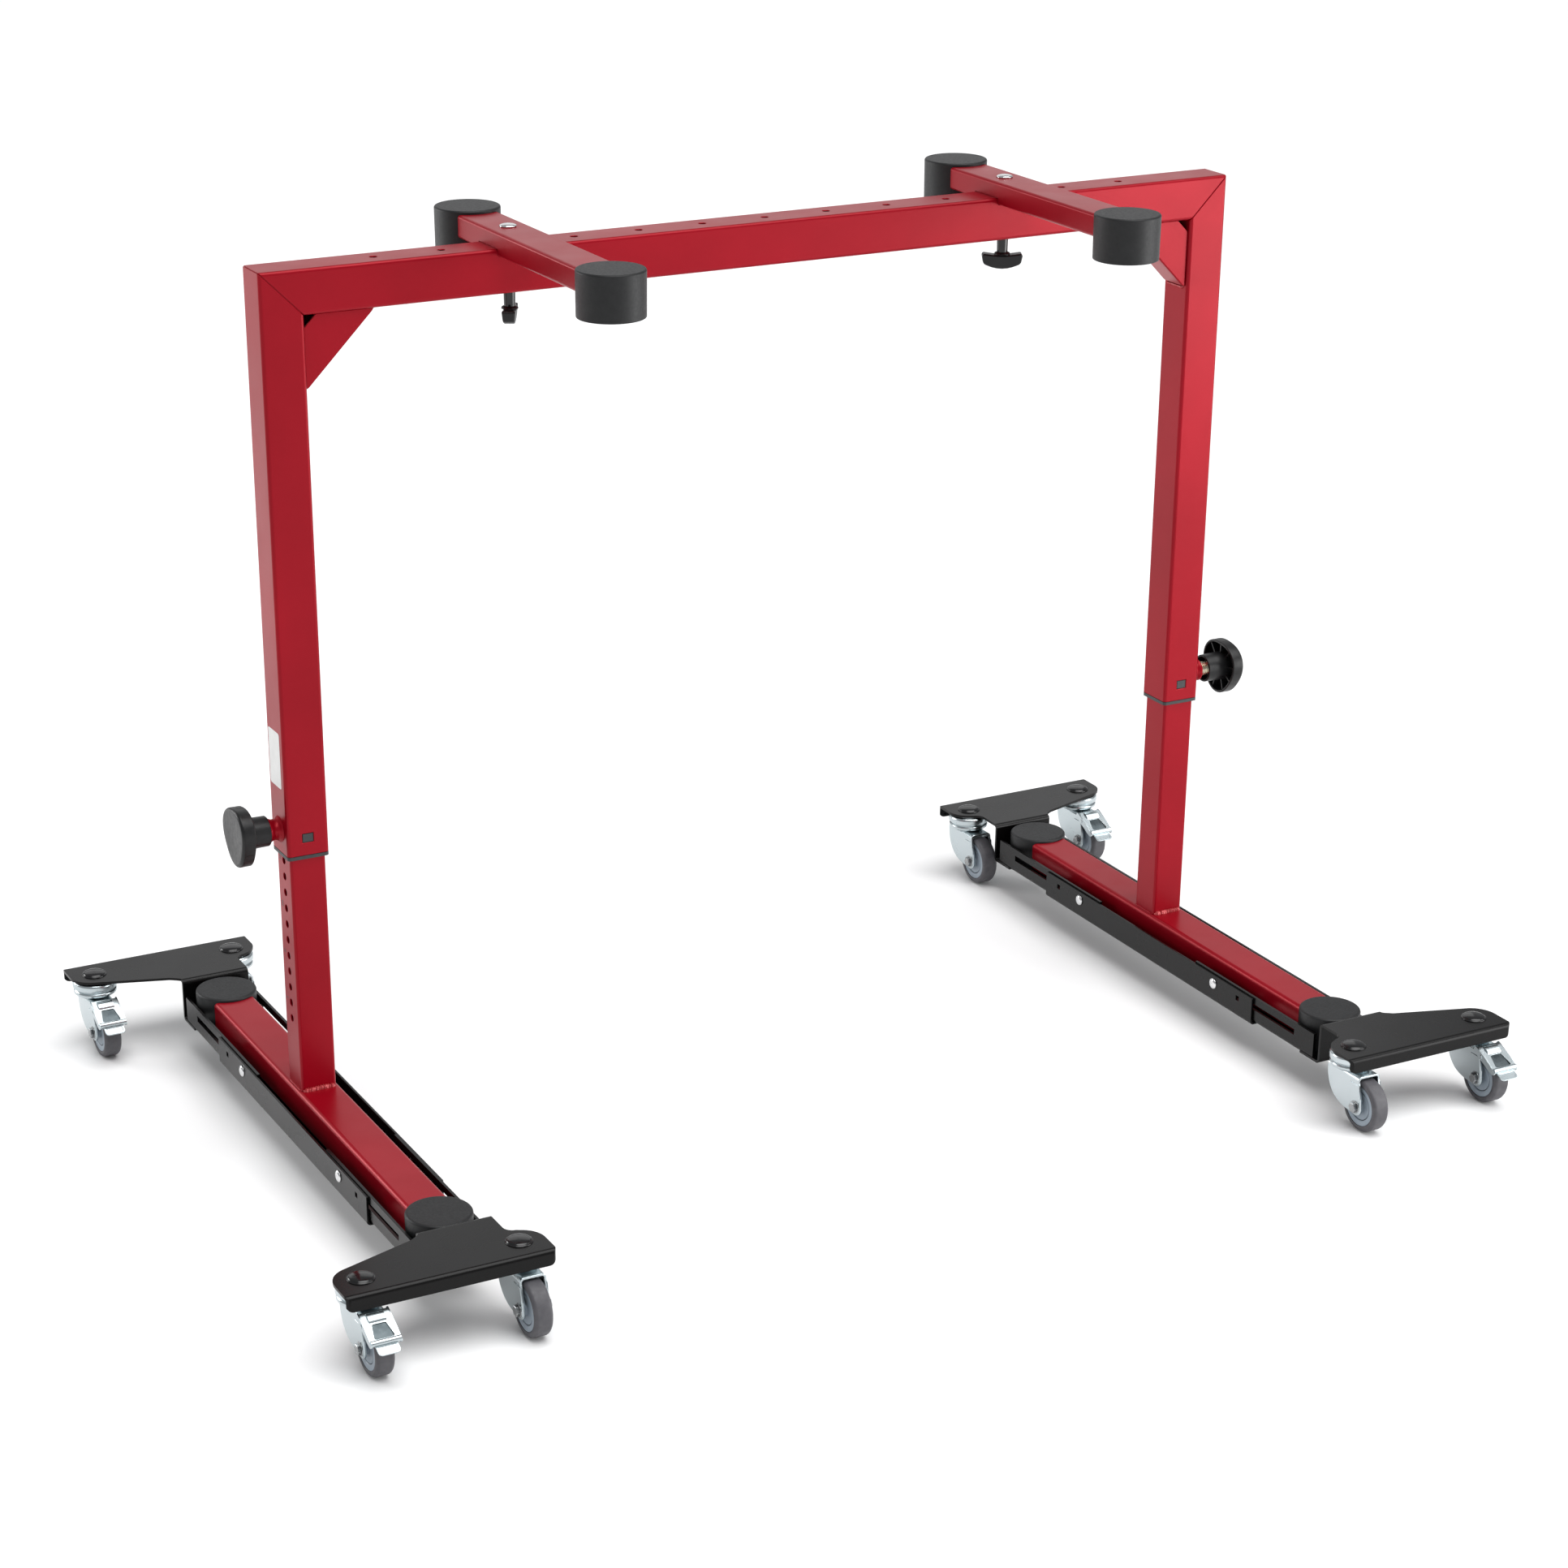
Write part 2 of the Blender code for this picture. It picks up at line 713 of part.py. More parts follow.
def slide_shape(side_x, side_y):
    """A caster carrier: slide channel, end web, caster plate and its flange."""
    floor = CHANNEL_FLOOR + CHANNEL_SHEET + GAP
    half, sheet = SLIDE_HALF, SLIDE_SHEET
    web_end = WEB_V + sheet
    base = box((-half, SLIDE_INNER_END, floor), (half, web_end, floor + sheet))
    walls = []
    for side in (-1, 1):
        low, high = sorted((side * half, side * (half - sheet)))
        walls.append(
            box(
                (low, SLIDE_INNER_END, floor + 0.5),
                (high, SLIDE_SIDE_END, CHANNEL_FLOOR + SLIDE_SIDE_TOP),
            )
        )
    web = box((-half, WEB_V, floor + 0.5), (half, web_end, PLATE_TOP - 0.5))
    plate = prism(plate_outline(), PLATE_TOP - sheet, PLATE_TOP)
    flange_b = PLATE_EDGE - sheet
    flange = box(
        (-PLATE_OUTBOARD + 4.0, flange_b, PLATE_TOP - FLANGE_HEIGHT),
        (PLATE_INBOARD - 3.0, PLATE_EDGE, PLATE_TOP - 0.5),
    )
    shape = combined(base, [*walls, web, plate, flange], "UNION")
    cuts = []
    for side in (-1, 1):
        low, high = sorted((side * (half - sheet - 1.0), side * (half + 1.0)))
        slot_z = CHANNEL_FLOOR + SCREW_UP
        cuts.append(
            box((low, SLOT_START, slot_z - SLOT_HALF), (high, SLOT_END, slot_z + SLOT_HALF))
        )
    shape = combined(shape, [joined(cuts)], "DIFFERENCE")
    return mirrored(shape, sign_x=-side_x, sign_y=side_y)


# Casters -------------------------------------------------------------------


def fork_shape():
    """A swivel fork; Z from the floor, the swivel axis at 0, trailing to -Y."""
    side = (
        (-TRAIL - 4.0, WHEEL_R - 8.6),
        (-TRAIL + 4.0, WHEEL_R - 8.6),
        (-8.0, 19.0),
        (7.0, 22.0),
        (15.0, 29.0),
        (19.5, 39.0),
        (20.5, FORK_CROWN),
        (-TRAIL, FORK_CROWN),
        (-TRAIL - 2.0, 46.0),
        (-TRAIL - 8.6, WHEEL_R + 3.0),
        (-TRAIL - 8.6, WHEEL_R - 4.0),
    )
    crown_low = FORK_CROWN - FORK_CROWN_SHEET
    plates = []
    for sign in (-1, 1):
        low, high = sorted((sign * (FORK_OUT - FORK_SHEET), sign * FORK_OUT))
        plates.append(prism(side, low, high, "x"))
    crown = prism(rounded_box(FORK_OUT, CROWN_HALF, 3.0), crown_low, FORK_CROWN)
    moved(crown, (0.0, CROWN_MID, 0.0))
    shoulder = stacked(
        (
            (SWIVEL_NECK_R - 3.0, crown_low + 0.5),
            (SWIVEL_R, FORK_CROWN + 2.0),
            (SWIVEL_R, PLATE_TOP - SLIDE_SHEET - GAP),
        ),
        16,
    )
    axle = stacked(((AXLE_R, -FORK_OUT - 2.0), (AXLE_R, FORK_OUT + 2.0)), 8, "x")
    moved(axle, (0.0, -TRAIL, WHEEL_R))
    return combined(crown, [*plates, shoulder, axle], "UNION")


def wheel_shape():
    """A wheel about its axle along X, bored with running clearance."""
    half = WHEEL_WIDTH / 2
    profile = (
        (AXLE_R + 0.1, -half - 0.8),
        (HUB_SPACER_R, -half - 0.8),
        (HUB_SPACER_R, -half),
        (WHEEL_R - 2.4, -half),
        (WHEEL_R, -half + 3.0),
        (WHEEL_R, half - 3.0),
        (WHEEL_R - 2.4, half),
        (HUB_SPACER_R, half),
        (HUB_SPACER_R, half + 0.8),
        (AXLE_R + 0.1, half + 0.8),
    )
    return turned(profile, 20, "x")


def pedal_shape():
    """A brake pedal about its pivot: two cheeks, two bars and a foot tab.

    It is drawn flat, running to -Y from the pivot, and then tipped down.
    """
    wide = FORK_OUT + 1.6
    cheeks = []
    for sign in (-1, 1):
        low, high = sorted((sign * wide, sign * (wide - 1.3)))
        cheek = ((5.0, -3.4), (-24.0, -3.4), (-28.5, -1.6), (-28.5, 1.2), (-20.0, 2.8), (4.0, 2.8))
        cheeks.append(prism(cheek, low, high, "x"))
    top_bar = box((-wide + 0.5, -9.0, 1.2), (wide - 0.5, -1.5, 2.6))
    low_bar = box((-wide + 0.5, -28.0, -0.8), (wide - 0.5, -24.0, 1.0))
    tab = box((-TAB_HALF, -PEDAL_LENGTH, -TAB_UNDER), (TAB_HALF, -TAB_START, TAB_OVER))
    shape = combined(cheeks[0], [cheeks[1], top_bar, low_bar, tab], "UNION")
    return turned_about(shape, PEDAL_SLOPE, "X")


# Assembly ------------------------------------------------------------------


def add_bridge():
    centre_z = BEAM_TOP - TUBE / 2
    place_mesh("crossbeam", crossbeam_shape(), RUBY, place=(0, -MID_Y, centre_z))
    corner_x = LEG_X - TUBE / 2
    corner_z = BEAM_TOP - TUBE
    for side, name in ((-1, "left"), (1, "right")):
        x = side * LEG_X
        place_mesh(name + "_outer_leg", outer_leg_shape(side), RUBY, place=(x, -MID_Y, 0))
        corner = (side * (corner_x - GAP), -MID_Y, corner_z - GAP)
        place_mesh(name + "_gusset", gusset_shape(-side), RUBY, place=corner)
        place_mesh(name + "_guide_bush", guide_bush_shape(side), GREY_PLASTIC, place=(x, -MID_Y, 0))


def add_arms():
    plug_half_w = ARM_WIDTH / 2 - ARM_WALL - PLUG_CLEAR
    plug_half_h = ARM_HEIGHT / 2 - ARM_WALL - PLUG_CLEAR
    arm_mid = ARM_HEIGHT / 2 - ARM_NOTCH
    cap_top = ARM_HEIGHT - ARM_NOTCH + CAP_PROUD
    for side, name in ((-1, "left"), (1, "right")):
        x = side * ARM_X
        place_mesh(name + "_arm", arm_shape(), RUBY, place=(x, -MID_Y, BEAM_TOP))
        for toward, end, y in ((1, "front", -ARM_CAP_FRONT), (-1, "rear", ARM_CAP_REAR)):
            cap = end_cap_shape(CAP_HEIGHT, arm_mid - cap_top, plug_half_w, plug_half_h, toward)
            place = (x, y - MID_Y, BEAM_TOP + cap_top)
            place_mesh("%s_arm_cap_%s" % (name, end), cap, RUBBER, place=place)
        place_mesh(name + "_arm_bolt", arm_bolt_shape(), STEEL, place=(x, -MID_Y, BEAM_TOP))
        turn = WING_TURN[name]
        knob_place = (x, -MID_Y, BEAM_TOP - TUBE - GAP)
        place_mesh(
            name + "_wing_knob", wing_knob_shape(), BLACK_PLASTIC, place=knob_place, turn=turn
        )


def add_height_locks():
    pin_z = FIRST_HOLE + LOCK_HOLE * HOLE_PITCH
    for side, name, pulled in ((-1, "left", 0.0), (1, "right", RIGHT_KNOB_OUT)):
        turn = math.pi if side < 0 else 0.0
        boss_x = side * (LEG_X + TUBE / 2 + GAP)
        place_mesh(
            name + "_pin_boss", boss_shape(), RUBY, place=(boss_x, -MID_Y, pin_z), turn=turn
        )
        tip_x = side * (LEG_X + INNER / 2 + pulled)
        axis = axis_point(name + "_lock_axis", (tip_x, -MID_Y, pin_z), turn=turn)
        place_mesh(name + "_index_pin", pin_shape(), STEEL, parent=axis)
        face = KNOB_FACE_OUT - INNER / 2
        place_mesh(
            name + "_height_knob",
            height_knob_shape(),
            BLACK_PLASTIC,
            parent=axis,
            place=(face, 0, 0),
        )


def add_leg(side, name):
    x = side * LEG_X
    place_mesh(name + "_inner_leg", inner_leg_shape(side), RUBY, place=(x, -MID_Y, 0))
    foot_y = TROLLEY_Y - MID_Y
    place_mesh(name + "_foot_tube", foot_tube_shape(), RUBY, place=(x, foot_y, 0))
    plug_half_w = FOOT_WIDTH / 2 - TUBE_WALL - PLUG_CLEAR
    plug_half_h = FOOT_HEIGHT / 2 - TUBE_WALL - PLUG_CLEAR
    disc_top = FOOT_TOP + CAP_PROUD
    disc_bottom = CHANNEL_FLOOR + CHANNEL_SHEET + GAP + SLIDE_SHEET + GAP
    for toward, end in ((1, "front"), (-1, "rear")):
        disc = end_cap_shape(
            disc_top - disc_bottom,
            FOOT_TOP - FOOT_HEIGHT / 2 - disc_top,
            plug_half_w,
            plug_half_h,
            toward,
        )
        place = (x, foot_y - toward * FOOT_CAP, disc_top)
        place_mesh("%s_foot_disc_%s" % (name, end), disc, RUBBER, place=place)
    place_mesh(name + "_trolley_channel", channel_shape(), BLACK_STEEL, place=(x, foot_y, 0))


def add_casters(side, name, end, sign_y, parent):
    offsets = (("outboard", side * CASTER_OUTBOARD), ("inboard", -side * CASTER_INBOARD))
    for berth, offset in offsets:
        label = "%s_%s_%s" % (name, end, berth)
        swivel = axis_point(label + "_swivel_axis", (offset, sign_y * CASTER_V, 0), parent)
        place_mesh(label + "_fork", fork_shape(), ZINC, parent=swivel)
        place_mesh(
            label + "_wheel", wheel_shape(), TYRE, parent=swivel, place=(0, -TRAIL, WHEEL_R)
        )
        if berth == "outboard":
            pivot = (0, PEDAL_PIVOT[0], PEDAL_PIVOT[1])
            place_mesh(label + "_brake", pedal_shape(), ZINC, parent=swivel, place=pivot)


def add_trolley(side, name):
    centre = axis_point(name + "_trolley_centre", (side * LEG_X, TROLLEY_Y - MID_Y, 0))
    for end, sign_y in (("front", -1), ("rear", 1)):
        place_mesh(
            "%s_slide_%s" % (name, end), slide_shape(side, sign_y), BLACK_STEEL, parent=centre
        )
        add_casters(side, name, end, sign_y, centre)


def main():
    clear_scene()
    add_bridge()
    add_arms()
    add_height_locks()
    for side, name in ((-1, "left"), (1, "right")):
        add_leg(side, name)
        add_trolley(side, name)
    bpy.context.view_layer.update()


main()
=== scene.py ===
"""Looks of a table-style keyboard stand on castor trolleys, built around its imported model.

Shapes are drawn in millimetres, about a joint or the middle of a tube, and then
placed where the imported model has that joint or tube. X runs along the
crossbeam, -Y is the player's side and Z is up from the floor.
"""

import json
import math
import random

import bmesh
import bpy
from mathutils import Matrix, Vector


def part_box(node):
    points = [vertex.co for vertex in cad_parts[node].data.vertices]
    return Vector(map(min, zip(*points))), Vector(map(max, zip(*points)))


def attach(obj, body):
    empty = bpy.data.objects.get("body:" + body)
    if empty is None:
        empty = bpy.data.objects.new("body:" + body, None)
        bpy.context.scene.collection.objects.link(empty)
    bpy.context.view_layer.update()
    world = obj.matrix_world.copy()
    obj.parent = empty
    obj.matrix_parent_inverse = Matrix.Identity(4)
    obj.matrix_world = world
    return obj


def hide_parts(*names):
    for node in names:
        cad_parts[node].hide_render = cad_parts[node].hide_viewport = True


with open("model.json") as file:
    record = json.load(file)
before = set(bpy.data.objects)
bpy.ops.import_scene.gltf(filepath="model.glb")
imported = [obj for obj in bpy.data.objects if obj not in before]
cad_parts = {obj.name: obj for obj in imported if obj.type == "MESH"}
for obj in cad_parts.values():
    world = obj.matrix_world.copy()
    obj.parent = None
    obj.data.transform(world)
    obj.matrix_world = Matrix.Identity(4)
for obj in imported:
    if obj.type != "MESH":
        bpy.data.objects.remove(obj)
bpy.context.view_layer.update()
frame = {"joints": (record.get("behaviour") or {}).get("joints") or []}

MM = 0.001
SIDES = (("left", -1), ("right", 1))
ENDS = (("front", -1), ("rear", 1))


class Box:
    """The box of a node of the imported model, in millimetres."""

    def __init__(self, node):
        low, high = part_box(node)
        self.low, self.high = low / MM, high / MM
        self.mid = (self.low + self.high) / 2
        self.half = (self.high - self.low) / 2


PIVOT = {j["name"]: Vector(j["pos_m"]) / MM for j in frame["joints"] if "pos_m" in j}
BEAM = Box("crossbeam")
LEG_Y = BEAM.mid.y
FOOT_Y = Box("left_foot_tube").mid.y
FLOOR_SIZE = 60.0

# Bridge; the guide bush's window is (width, height)
TUBE_ROUND = 3.2
TUBE_WALL = 1.5
TUBE_EDGE = 0.65
SEAM_HALF = 0.55
SEAM_INSET = 0.7
BEAM_HOLE_PITCH = 61.3
BEAM_HOLES_PER_SIDE = 6
BEAM_HOLE_R = 3.3
GUSSET_LEG = 62.0
GUSSET_CLIP = 11.0
GUSSET_SHEET = 2.0
GUSSET_LIP = 3.0
BRACE_BEAD_LENGTH = 27.0
BRACE_BEAD_R = 1.9
WINDOW = (10.5, 8.5)
WINDOW_UP = 19.2
BOSS_BORE_R = 7.2
SLIDING_GAP = 0.3
LABEL_SIZE = (26.0, 51.0)
LABEL_UP = 86.5

# Arms, caps and bolts
CAP_R = 29.0
SADDLE_GAP = 0.3
ARM_ROUND = 2.6
NOTCH_BEAD_R = 1.1
BOLT_SHANK_R = 2.9
BOLT_RIM = 0.8
WING_SPAN = 18.5
WING_THICK = 12.0
WING_TOP = -15.5
WING_LOW = -29.5
WING_TURN = {"left": 62.0, "right": -27.0}

# Height locks and inner legs; a marked hole is (its number from 0 at the bottom, its strokes)
HOLE_PITCH = 15.15
FIRST_HOLE = 135.6
LEG_HOLES = 29
LEG_HOLE_R = 3.5
LEG_WALL = 2.0
LEG_ROUND = 2.6
FOOT_ROUND = 4.2
FOOT_WELD_R = 3.1
SIDE_WELD_R = 1.0
MARKED_HOLES = ((1, 1), (4, 2), (7, 3), (10, 4))
MARK_PITCH = 1.9
THREAD_PITCH = 1.5
KNOB_R = 26.5
KNOB_LOBE = 1.6
KNOB_DISC = 12.5
KNOB_RIBS = 9
KNOB_PHASE = math.radians(37)

# Trolleys; V is the distance along the channel from its middle
CHANNEL_SHEET = 2.0
SLIDE_SHEET = 2.5
SCREW_V = 120.7
SQUARE_V = 161.0
SCREW_UP = 19.0
SLOT = (96.0, 251.0)
WEB_V = 289.6
SLIDE_SIDE_END = 281.5
PLATE_OUTBOARD = 127.0
PLATE_INBOARD = 58.0
CASTER_V = 344.0
FLANGE_HEIGHT = 14.0
FLANGE_CORNER = 7.0
CHANNEL_BEND = 2.6
SLIDE_BEND = 3.2
SQUARE_HALF = 2.4
SLOT_HALF = 2.9
DOME_R = 11.8

# Casters
TRAIL = 24.6
FORK_OUT = 12.0
FORK_SHEET = 2.2
FORK_CROWN = 55.0
LUG_R = 8.4
WHEEL_R = 25.0
WHEEL_HALF = 8.5
TREAD_ROUND = 3.9
PEDAL_SLOPE = math.radians(27)
PEDAL_LENGTH = 38.0

# Camera: metres from the legs' plane, degrees below level, and the rest in radians
CAMERA_LENS = 79.83
CAMERA_SHIFT = (0.0330, 0.1229)
CAMERA_PLACE = (-1.4334, -2.6978, 1.4132)
CAMERA_DOWN = 23.55
CAMERA_ROLL = -0.0026
CAMERA_HEADING = -0.4786
WORLD_STRENGTH = 0.38


# Materials -----------------------------------------------------------------


def finish(name, colour, tint, roughness, spread=0.05, metallic=0.0, grain=40.0,
           bump_scale=900.0, bump=0.15, depth=0.02, coat=0.0, specular=0.5):
    """A painted, moulded or plated surface: two close colours, uneven gloss and a fine bump.

    Scales are per metre and the bump's depth is in millimetres.
    """
    made = bpy.data.materials.new(name)
    made.use_nodes = True
    tree = made.node_tree
    shader = tree.nodes["Principled BSDF"]
    shader.inputs["Metallic"].default_value = metallic
    shader.inputs["Coat Weight"].default_value = coat
    shader.inputs["Coat Roughness"].default_value = 0.22
    shader.inputs["Specular IOR Level"].default_value = specular
    place = tree.nodes.new("ShaderNodeTexCoord")

    def noise(scale, detail):
        node = tree.nodes.new("ShaderNodeTexNoise")
        node.inputs["Scale"].default_value = scale
        node.inputs["Detail"].default_value = detail
        tree.links.new(place.outputs["Object"], node.inputs["Vector"])
        return node.outputs["Fac"]

    cloud = noise(grain, 5.0)
    ramp = tree.nodes.new("ShaderNodeValToRGB")
    ramp.color_ramp.elements[0].position = 0.35
    ramp.color_ramp.elements[1].position = 0.68
    ramp.color_ramp.elements[0].color = (*colour, 1.0)
    ramp.color_ramp.elements[1].color = (*tint, 1.0)
    tree.links.new(cloud, ramp.inputs["Fac"])
    tree.links.new(ramp.outputs["Color"], shader.inputs["Base Color"])
    gloss = tree.nodes.new("ShaderNodeMapRange")
    gloss.inputs["From Min"].default_value = 0.3
    gloss.inputs["From Max"].default_value = 0.7
    gloss.inputs["To Min"].default_value = roughness - spread
    gloss.inputs["To Max"].default_value = roughness + spread
    tree.links.new(noise(grain * 3.1, 3.0), gloss.inputs["Value"])
    tree.links.new(gloss.outputs["Result"], shader.inputs["Roughness"])
    relief = tree.nodes.new("ShaderNodeBump")
    relief.inputs["Strength"].default_value = bump
    relief.inputs["Distance"].default_value = depth * MM
    tree.links.new(noise(bump_scale, 3.0), relief.inputs["Height"])
    tree.links.new(relief.outputs["Normal"], shader.inputs["Normal"])
    return made


RUBY = finish("ruby_paint", (0.265, 0.0014, 0.0085), (0.305, 0.002, 0.0105), 0.35, 0.03,
              metallic=0.28, grain=9.0, bump_scale=1400.0, bump=0.06, depth=0.02, coat=0.16,
              specular=0.08)
# The welds' paint is a lighter, pinker copy of the ruby paint; the extra lightness is a painted
# sheen on the beads.
WELD_WITH_PAINTED_SHEEN = finish("weld_paint_with_painted_sheen", (0.36, 0.02, 0.026), (0.48, 0.07, 0.075), 0.34, 0.08,
              metallic=0.3, grain=220.0, bump_scale=900.0, bump=0.4, depth=0.12, coat=0.4,
              specular=0.3)
POWDER = finish("black_powder_coat", (0.0020, 0.0018, 0.0018), (0.0026, 0.0024, 0.0024), 0.27,
                0.015, grain=9.0, bump_scale=1300.0, bump=0.05, depth=0.02, specular=0.20)
RUBBER = finish("cap_rubber", (0.0075, 0.0078, 0.0085), (0.0105, 0.011, 0.0118), 0.50, 0.05,
                grain=160.0, bump_scale=2600.0, bump=0.2, depth=0.03, specular=0.35)
PLASTIC = finish("black_plastic", (0.006, 0.006, 0.0065), (0.009, 0.009, 0.0095), 0.38, 0.05,
                 grain=90.0, bump_scale=2300.0, bump=0.2, depth=0.03, specular=0.30)
GLOSS_PLASTIC = finish("gloss_plastic", (0.003, 0.003, 0.0035), (0.006, 0.006, 0.0065), 0.14, 0.04,
                       grain=120.0, bump_scale=500.0, bump=0.12, depth=0.03)
GREY_PLASTIC = finish("grey_plastic", (0.022, 0.023, 0.025), (0.030, 0.031, 0.033), 0.5, 0.06,
                      grain=120.0, bump_scale=1800.0, bump=0.25, depth=0.03)
ZINC = finish("zinc_plate", (0.50, 0.56, 0.58), (0.58, 0.63, 0.65), 0.26, 0.02, metallic=1.0,
              grain=12.0, bump_scale=90.0, bump=0.02, depth=0.02)
STEEL = finish("bright_steel", (0.66, 0.67, 0.68), (0.76, 0.76, 0.76), 0.17, 0.04, metallic=1.0,
               grain=200.0, bump_scale=800.0, bump=0.06, depth=0.02)
AXLE_STEEL = finish("axle_steel", (0.30, 0.31, 0.32), (0.38, 0.39, 0.39), 0.26, 0.05,
                    metallic=1.0, grain=150.0, bump_scale=700.0, bump=0.08, depth=0.02)
SPRING = finish("spring_steel", (0.055, 0.068, 0.074), (0.085, 0.100, 0.106), 0.30, 0.05,
                metallic=1.0, grain=90.0, bump_scale=500.0, bump=0.06, depth=0.02)
BRASS = finish("nickel_brass", (0.62, 0.55, 0.38), (0.74, 0.69, 0.55), 0.22, 0.06, metallic=1.0,
               grain=300.0, bump_scale=900.0, bump=0.12, depth=0.02)
TYRE = finish("tyre_rubber", (0.062, 0.060, 0.068), (0.080, 0.078, 0.086), 0.54, 0.06,
              grain=140.0, bump_scale=1700.0, bump=0.35, depth=0.04)
WHEEL_HUB = finish("wheel_hub", (0.25, 0.30, 0.35), (0.29, 0.34, 0.39), 0.36, 0.05,
                   grain=110.0, bump_scale=1500.0, bump=0.2, depth=0.03)
RING_LINE = finish("wheel_ring_line", (0.022, 0.026, 0.032), (0.032, 0.037, 0.044), 0.5, 0.05,
                   grain=200.0)
LABEL = finish("label_film", (0.66, 0.66, 0.65), (0.72, 0.72, 0.71), 0.34, 0.05,
               grain=70.0, bump_scale=400.0, bump=0.1, depth=0.02)
MARK_INK = finish("mark_ink", (0.010, 0.007, 0.007), (0.016, 0.010, 0.010), 0.5, 0.05, grain=300.0)


# Outlines ------------------------------------------------------------------


def arc(centre, radius, start, end, steps=6):
    """Points on an arc, with angles in degrees and both ends included."""
    angles = [math.radians(start + (end - start) * i / steps) for i in range(steps + 1)]
    return [(centre[0] + radius * math.cos(a), centre[1] + radius * math.sin(a)) for a in angles]


def circle(radius, sides=32, centre=(0.0, 0.0)):
    return arc(centre, radius, 0, 360, sides)[:-1]


def rounded_box(half_a, half_b, radius, steps=5):
    points = []
    for sign_a, sign_b, start in ((1, 1, 0), (-1, 1, 90), (-1, -1, 180), (1, -1, 270)):
        centre = (sign_a * (half_a - radius), sign_b * (half_b - radius))
        points += arc(centre, radius, start, start + 90, steps)
    return points


def bent_path(corners, bend, steps=6):
    """The corners of a line with each inner one rounded to the bend's radius."""
    points = [Vector(corners[0])]
    for before, corner, after in zip(corners, corners[1:], corners[2:]):
        corner = Vector(corner)
        back = (Vector(before) - corner).normalized()
        ahead = (Vector(after) - corner).normalized()
        half_angle = back.angle(ahead) / 2
        reach = bend / math.tan(half_angle)
        centre = corner + (back + ahead).normalized() * bend / math.sin(half_angle)
        first = corner + back * reach - centre
        last = corner + ahead * reach - centre
        sweep = first.angle_signed(last)
        for i in range(steps + 1):
            turn = Matrix.Rotation(-sweep * i / steps, 2)
            points.append(centre + turn @ first)
    points.append(Vector(corners[-1]))
    return points


def strip(path, thickness):
    """The closed outline of a sheet of this thickness along a centre line."""
    left, right = [], []
    for i, point in enumerate(path):
        before, after = path[max(i - 1, 0)], path[min(i + 1, len(path) - 1)]
        along = (after - before).normalized()
        out = Vector((-along.y, along.x)) * thickness / 2
        left.append(tuple(point + out))
        right.append(tuple(point - out))
    return left + right[::-1]


def smooth_line(points, steps=5):
    """A Catmull-Rom curve through the points, with both ends included."""
    ends = [points[0], *points, points[-1]]
    curve = []
    for p0, p1, p2, p3 in zip(ends, ends[1:], ends[2:], ends[3:]):
        for i in range(steps):
            t = i / steps
            weights = (
                -0.5 * t + t * t - 0.5 * t**3,
                1 - 2.5 * t * t + 1.5 * t**3,
                0.5 * t + 2 * t * t - 1.5 * t**3,
                -0.5 * t * t + 0.5 * t**3,
            )
            four = (p0, p1, p2, p3)
            curve.append(tuple(sum(w * p[k] for w, p in zip(weights, four)) for k in (0, 1)))
    curve.append(tuple(points[-1]))
    return curve


# Solids --------------------------------------------------------------------


def loft(loops, close_ends=True, ring=False):
    """Join loops of equal length with quads, and cap or close them."""
    shape = bmesh.new()
    rows = [[shape.verts.new(point) for point in loop] for loop in loops]
    pairs = list(zip(rows, rows[1:]))
    if ring:
        pairs.append((rows[-1], rows[0]))
    for low, high in pairs:
        for i in range(len(low)):
            j = (i + 1) % len(low)
            shape.faces.new((low[i], low[j], high[j], high[i]))
    if close_ends and not ring:
        shape.faces.new(rows[0][::-1])
        shape.faces.new(rows[-1])
    return shape


def prism(outline, low, high, axis="z"):
    """Extrude an outline between two planes of the named axis."""

    def at(point, level):
        a, b = point
        return {"z": (a, b, level), "x": (level, a, b), "y": (a, level, b)}[axis]

    return loft([[at(p, level) for p in outline] for level in (low, high)])


def box(low, high):
    outline = ((low[0], low[1]), (high[0], low[1]), (high[0], high[1]), (low[0], high[1]))
    return prism(outline, low[2], high[2])


def onto_x(points):
    return [(z, x, y) for x, y, z in points]


def turned(profile, sides=40, axis="z"):
    """Turn a closed (radius, height) profile that stays off the axis."""
    rings = []
    for i in range(sides):
        angle = 2 * math.pi * i / sides
        points = [(r * math.cos(angle), r * math.sin(angle), h) for r, h in profile]
        rings.append(onto_x(points) if axis == "x" else points)
    return loft(rings, ring=True)


def stacked(levels, sides=40, axis="z"):
    """A solid turned shape from (radius, height) levels with flat ends."""
    loops = []
    for radius, height in levels:
        points = [(a, b, height) for a, b in circle(radius, sides)]
        loops.append(onto_x(points) if axis == "x" else points)
    return loft(loops)


def dome(radius, rise, low, degrees):
    """(radius, height) levels of a crowned top, at the given angles above its rim."""
    angles = [math.radians(d) for d in degrees]
    return [(radius * math.cos(a), low + rise * math.sin(a)) for a in angles]


def hollow_section(half_a, half_b, wall, radius, low, high):
    """A tube along Z whose end heights are functions of the outline point."""
    outer = rounded_box(half_a, half_b, radius)
    inner = rounded_box(half_a - wall, half_b - wall, max(radius - wall, 0.8))
    loops = [
        [(a, b, low(a, b)) for a, b in outer],
        [(a, b, high(a, b)) for a, b in outer],
        [(a, b, high(a, b)) for a, b in inner],
        [(a, b, low(a, b)) for a, b in inner],
    ]
    return loft(loops, ring=True)


def laid_along_y(shape):
    for vert in shape.verts:
        a, b, along = vert.co
        vert.co = (a, along, b)
    return shape


def moved(shape, offset):
    bmesh.ops.translate(shape, vec=Vector(offset), verts=shape.verts)
    return shape


def mirrored(shape, sign_x=1, sign_y=1):
    bmesh.ops.scale(shape, vec=(sign_x, sign_y, 1), verts=shape.verts)
    return shape


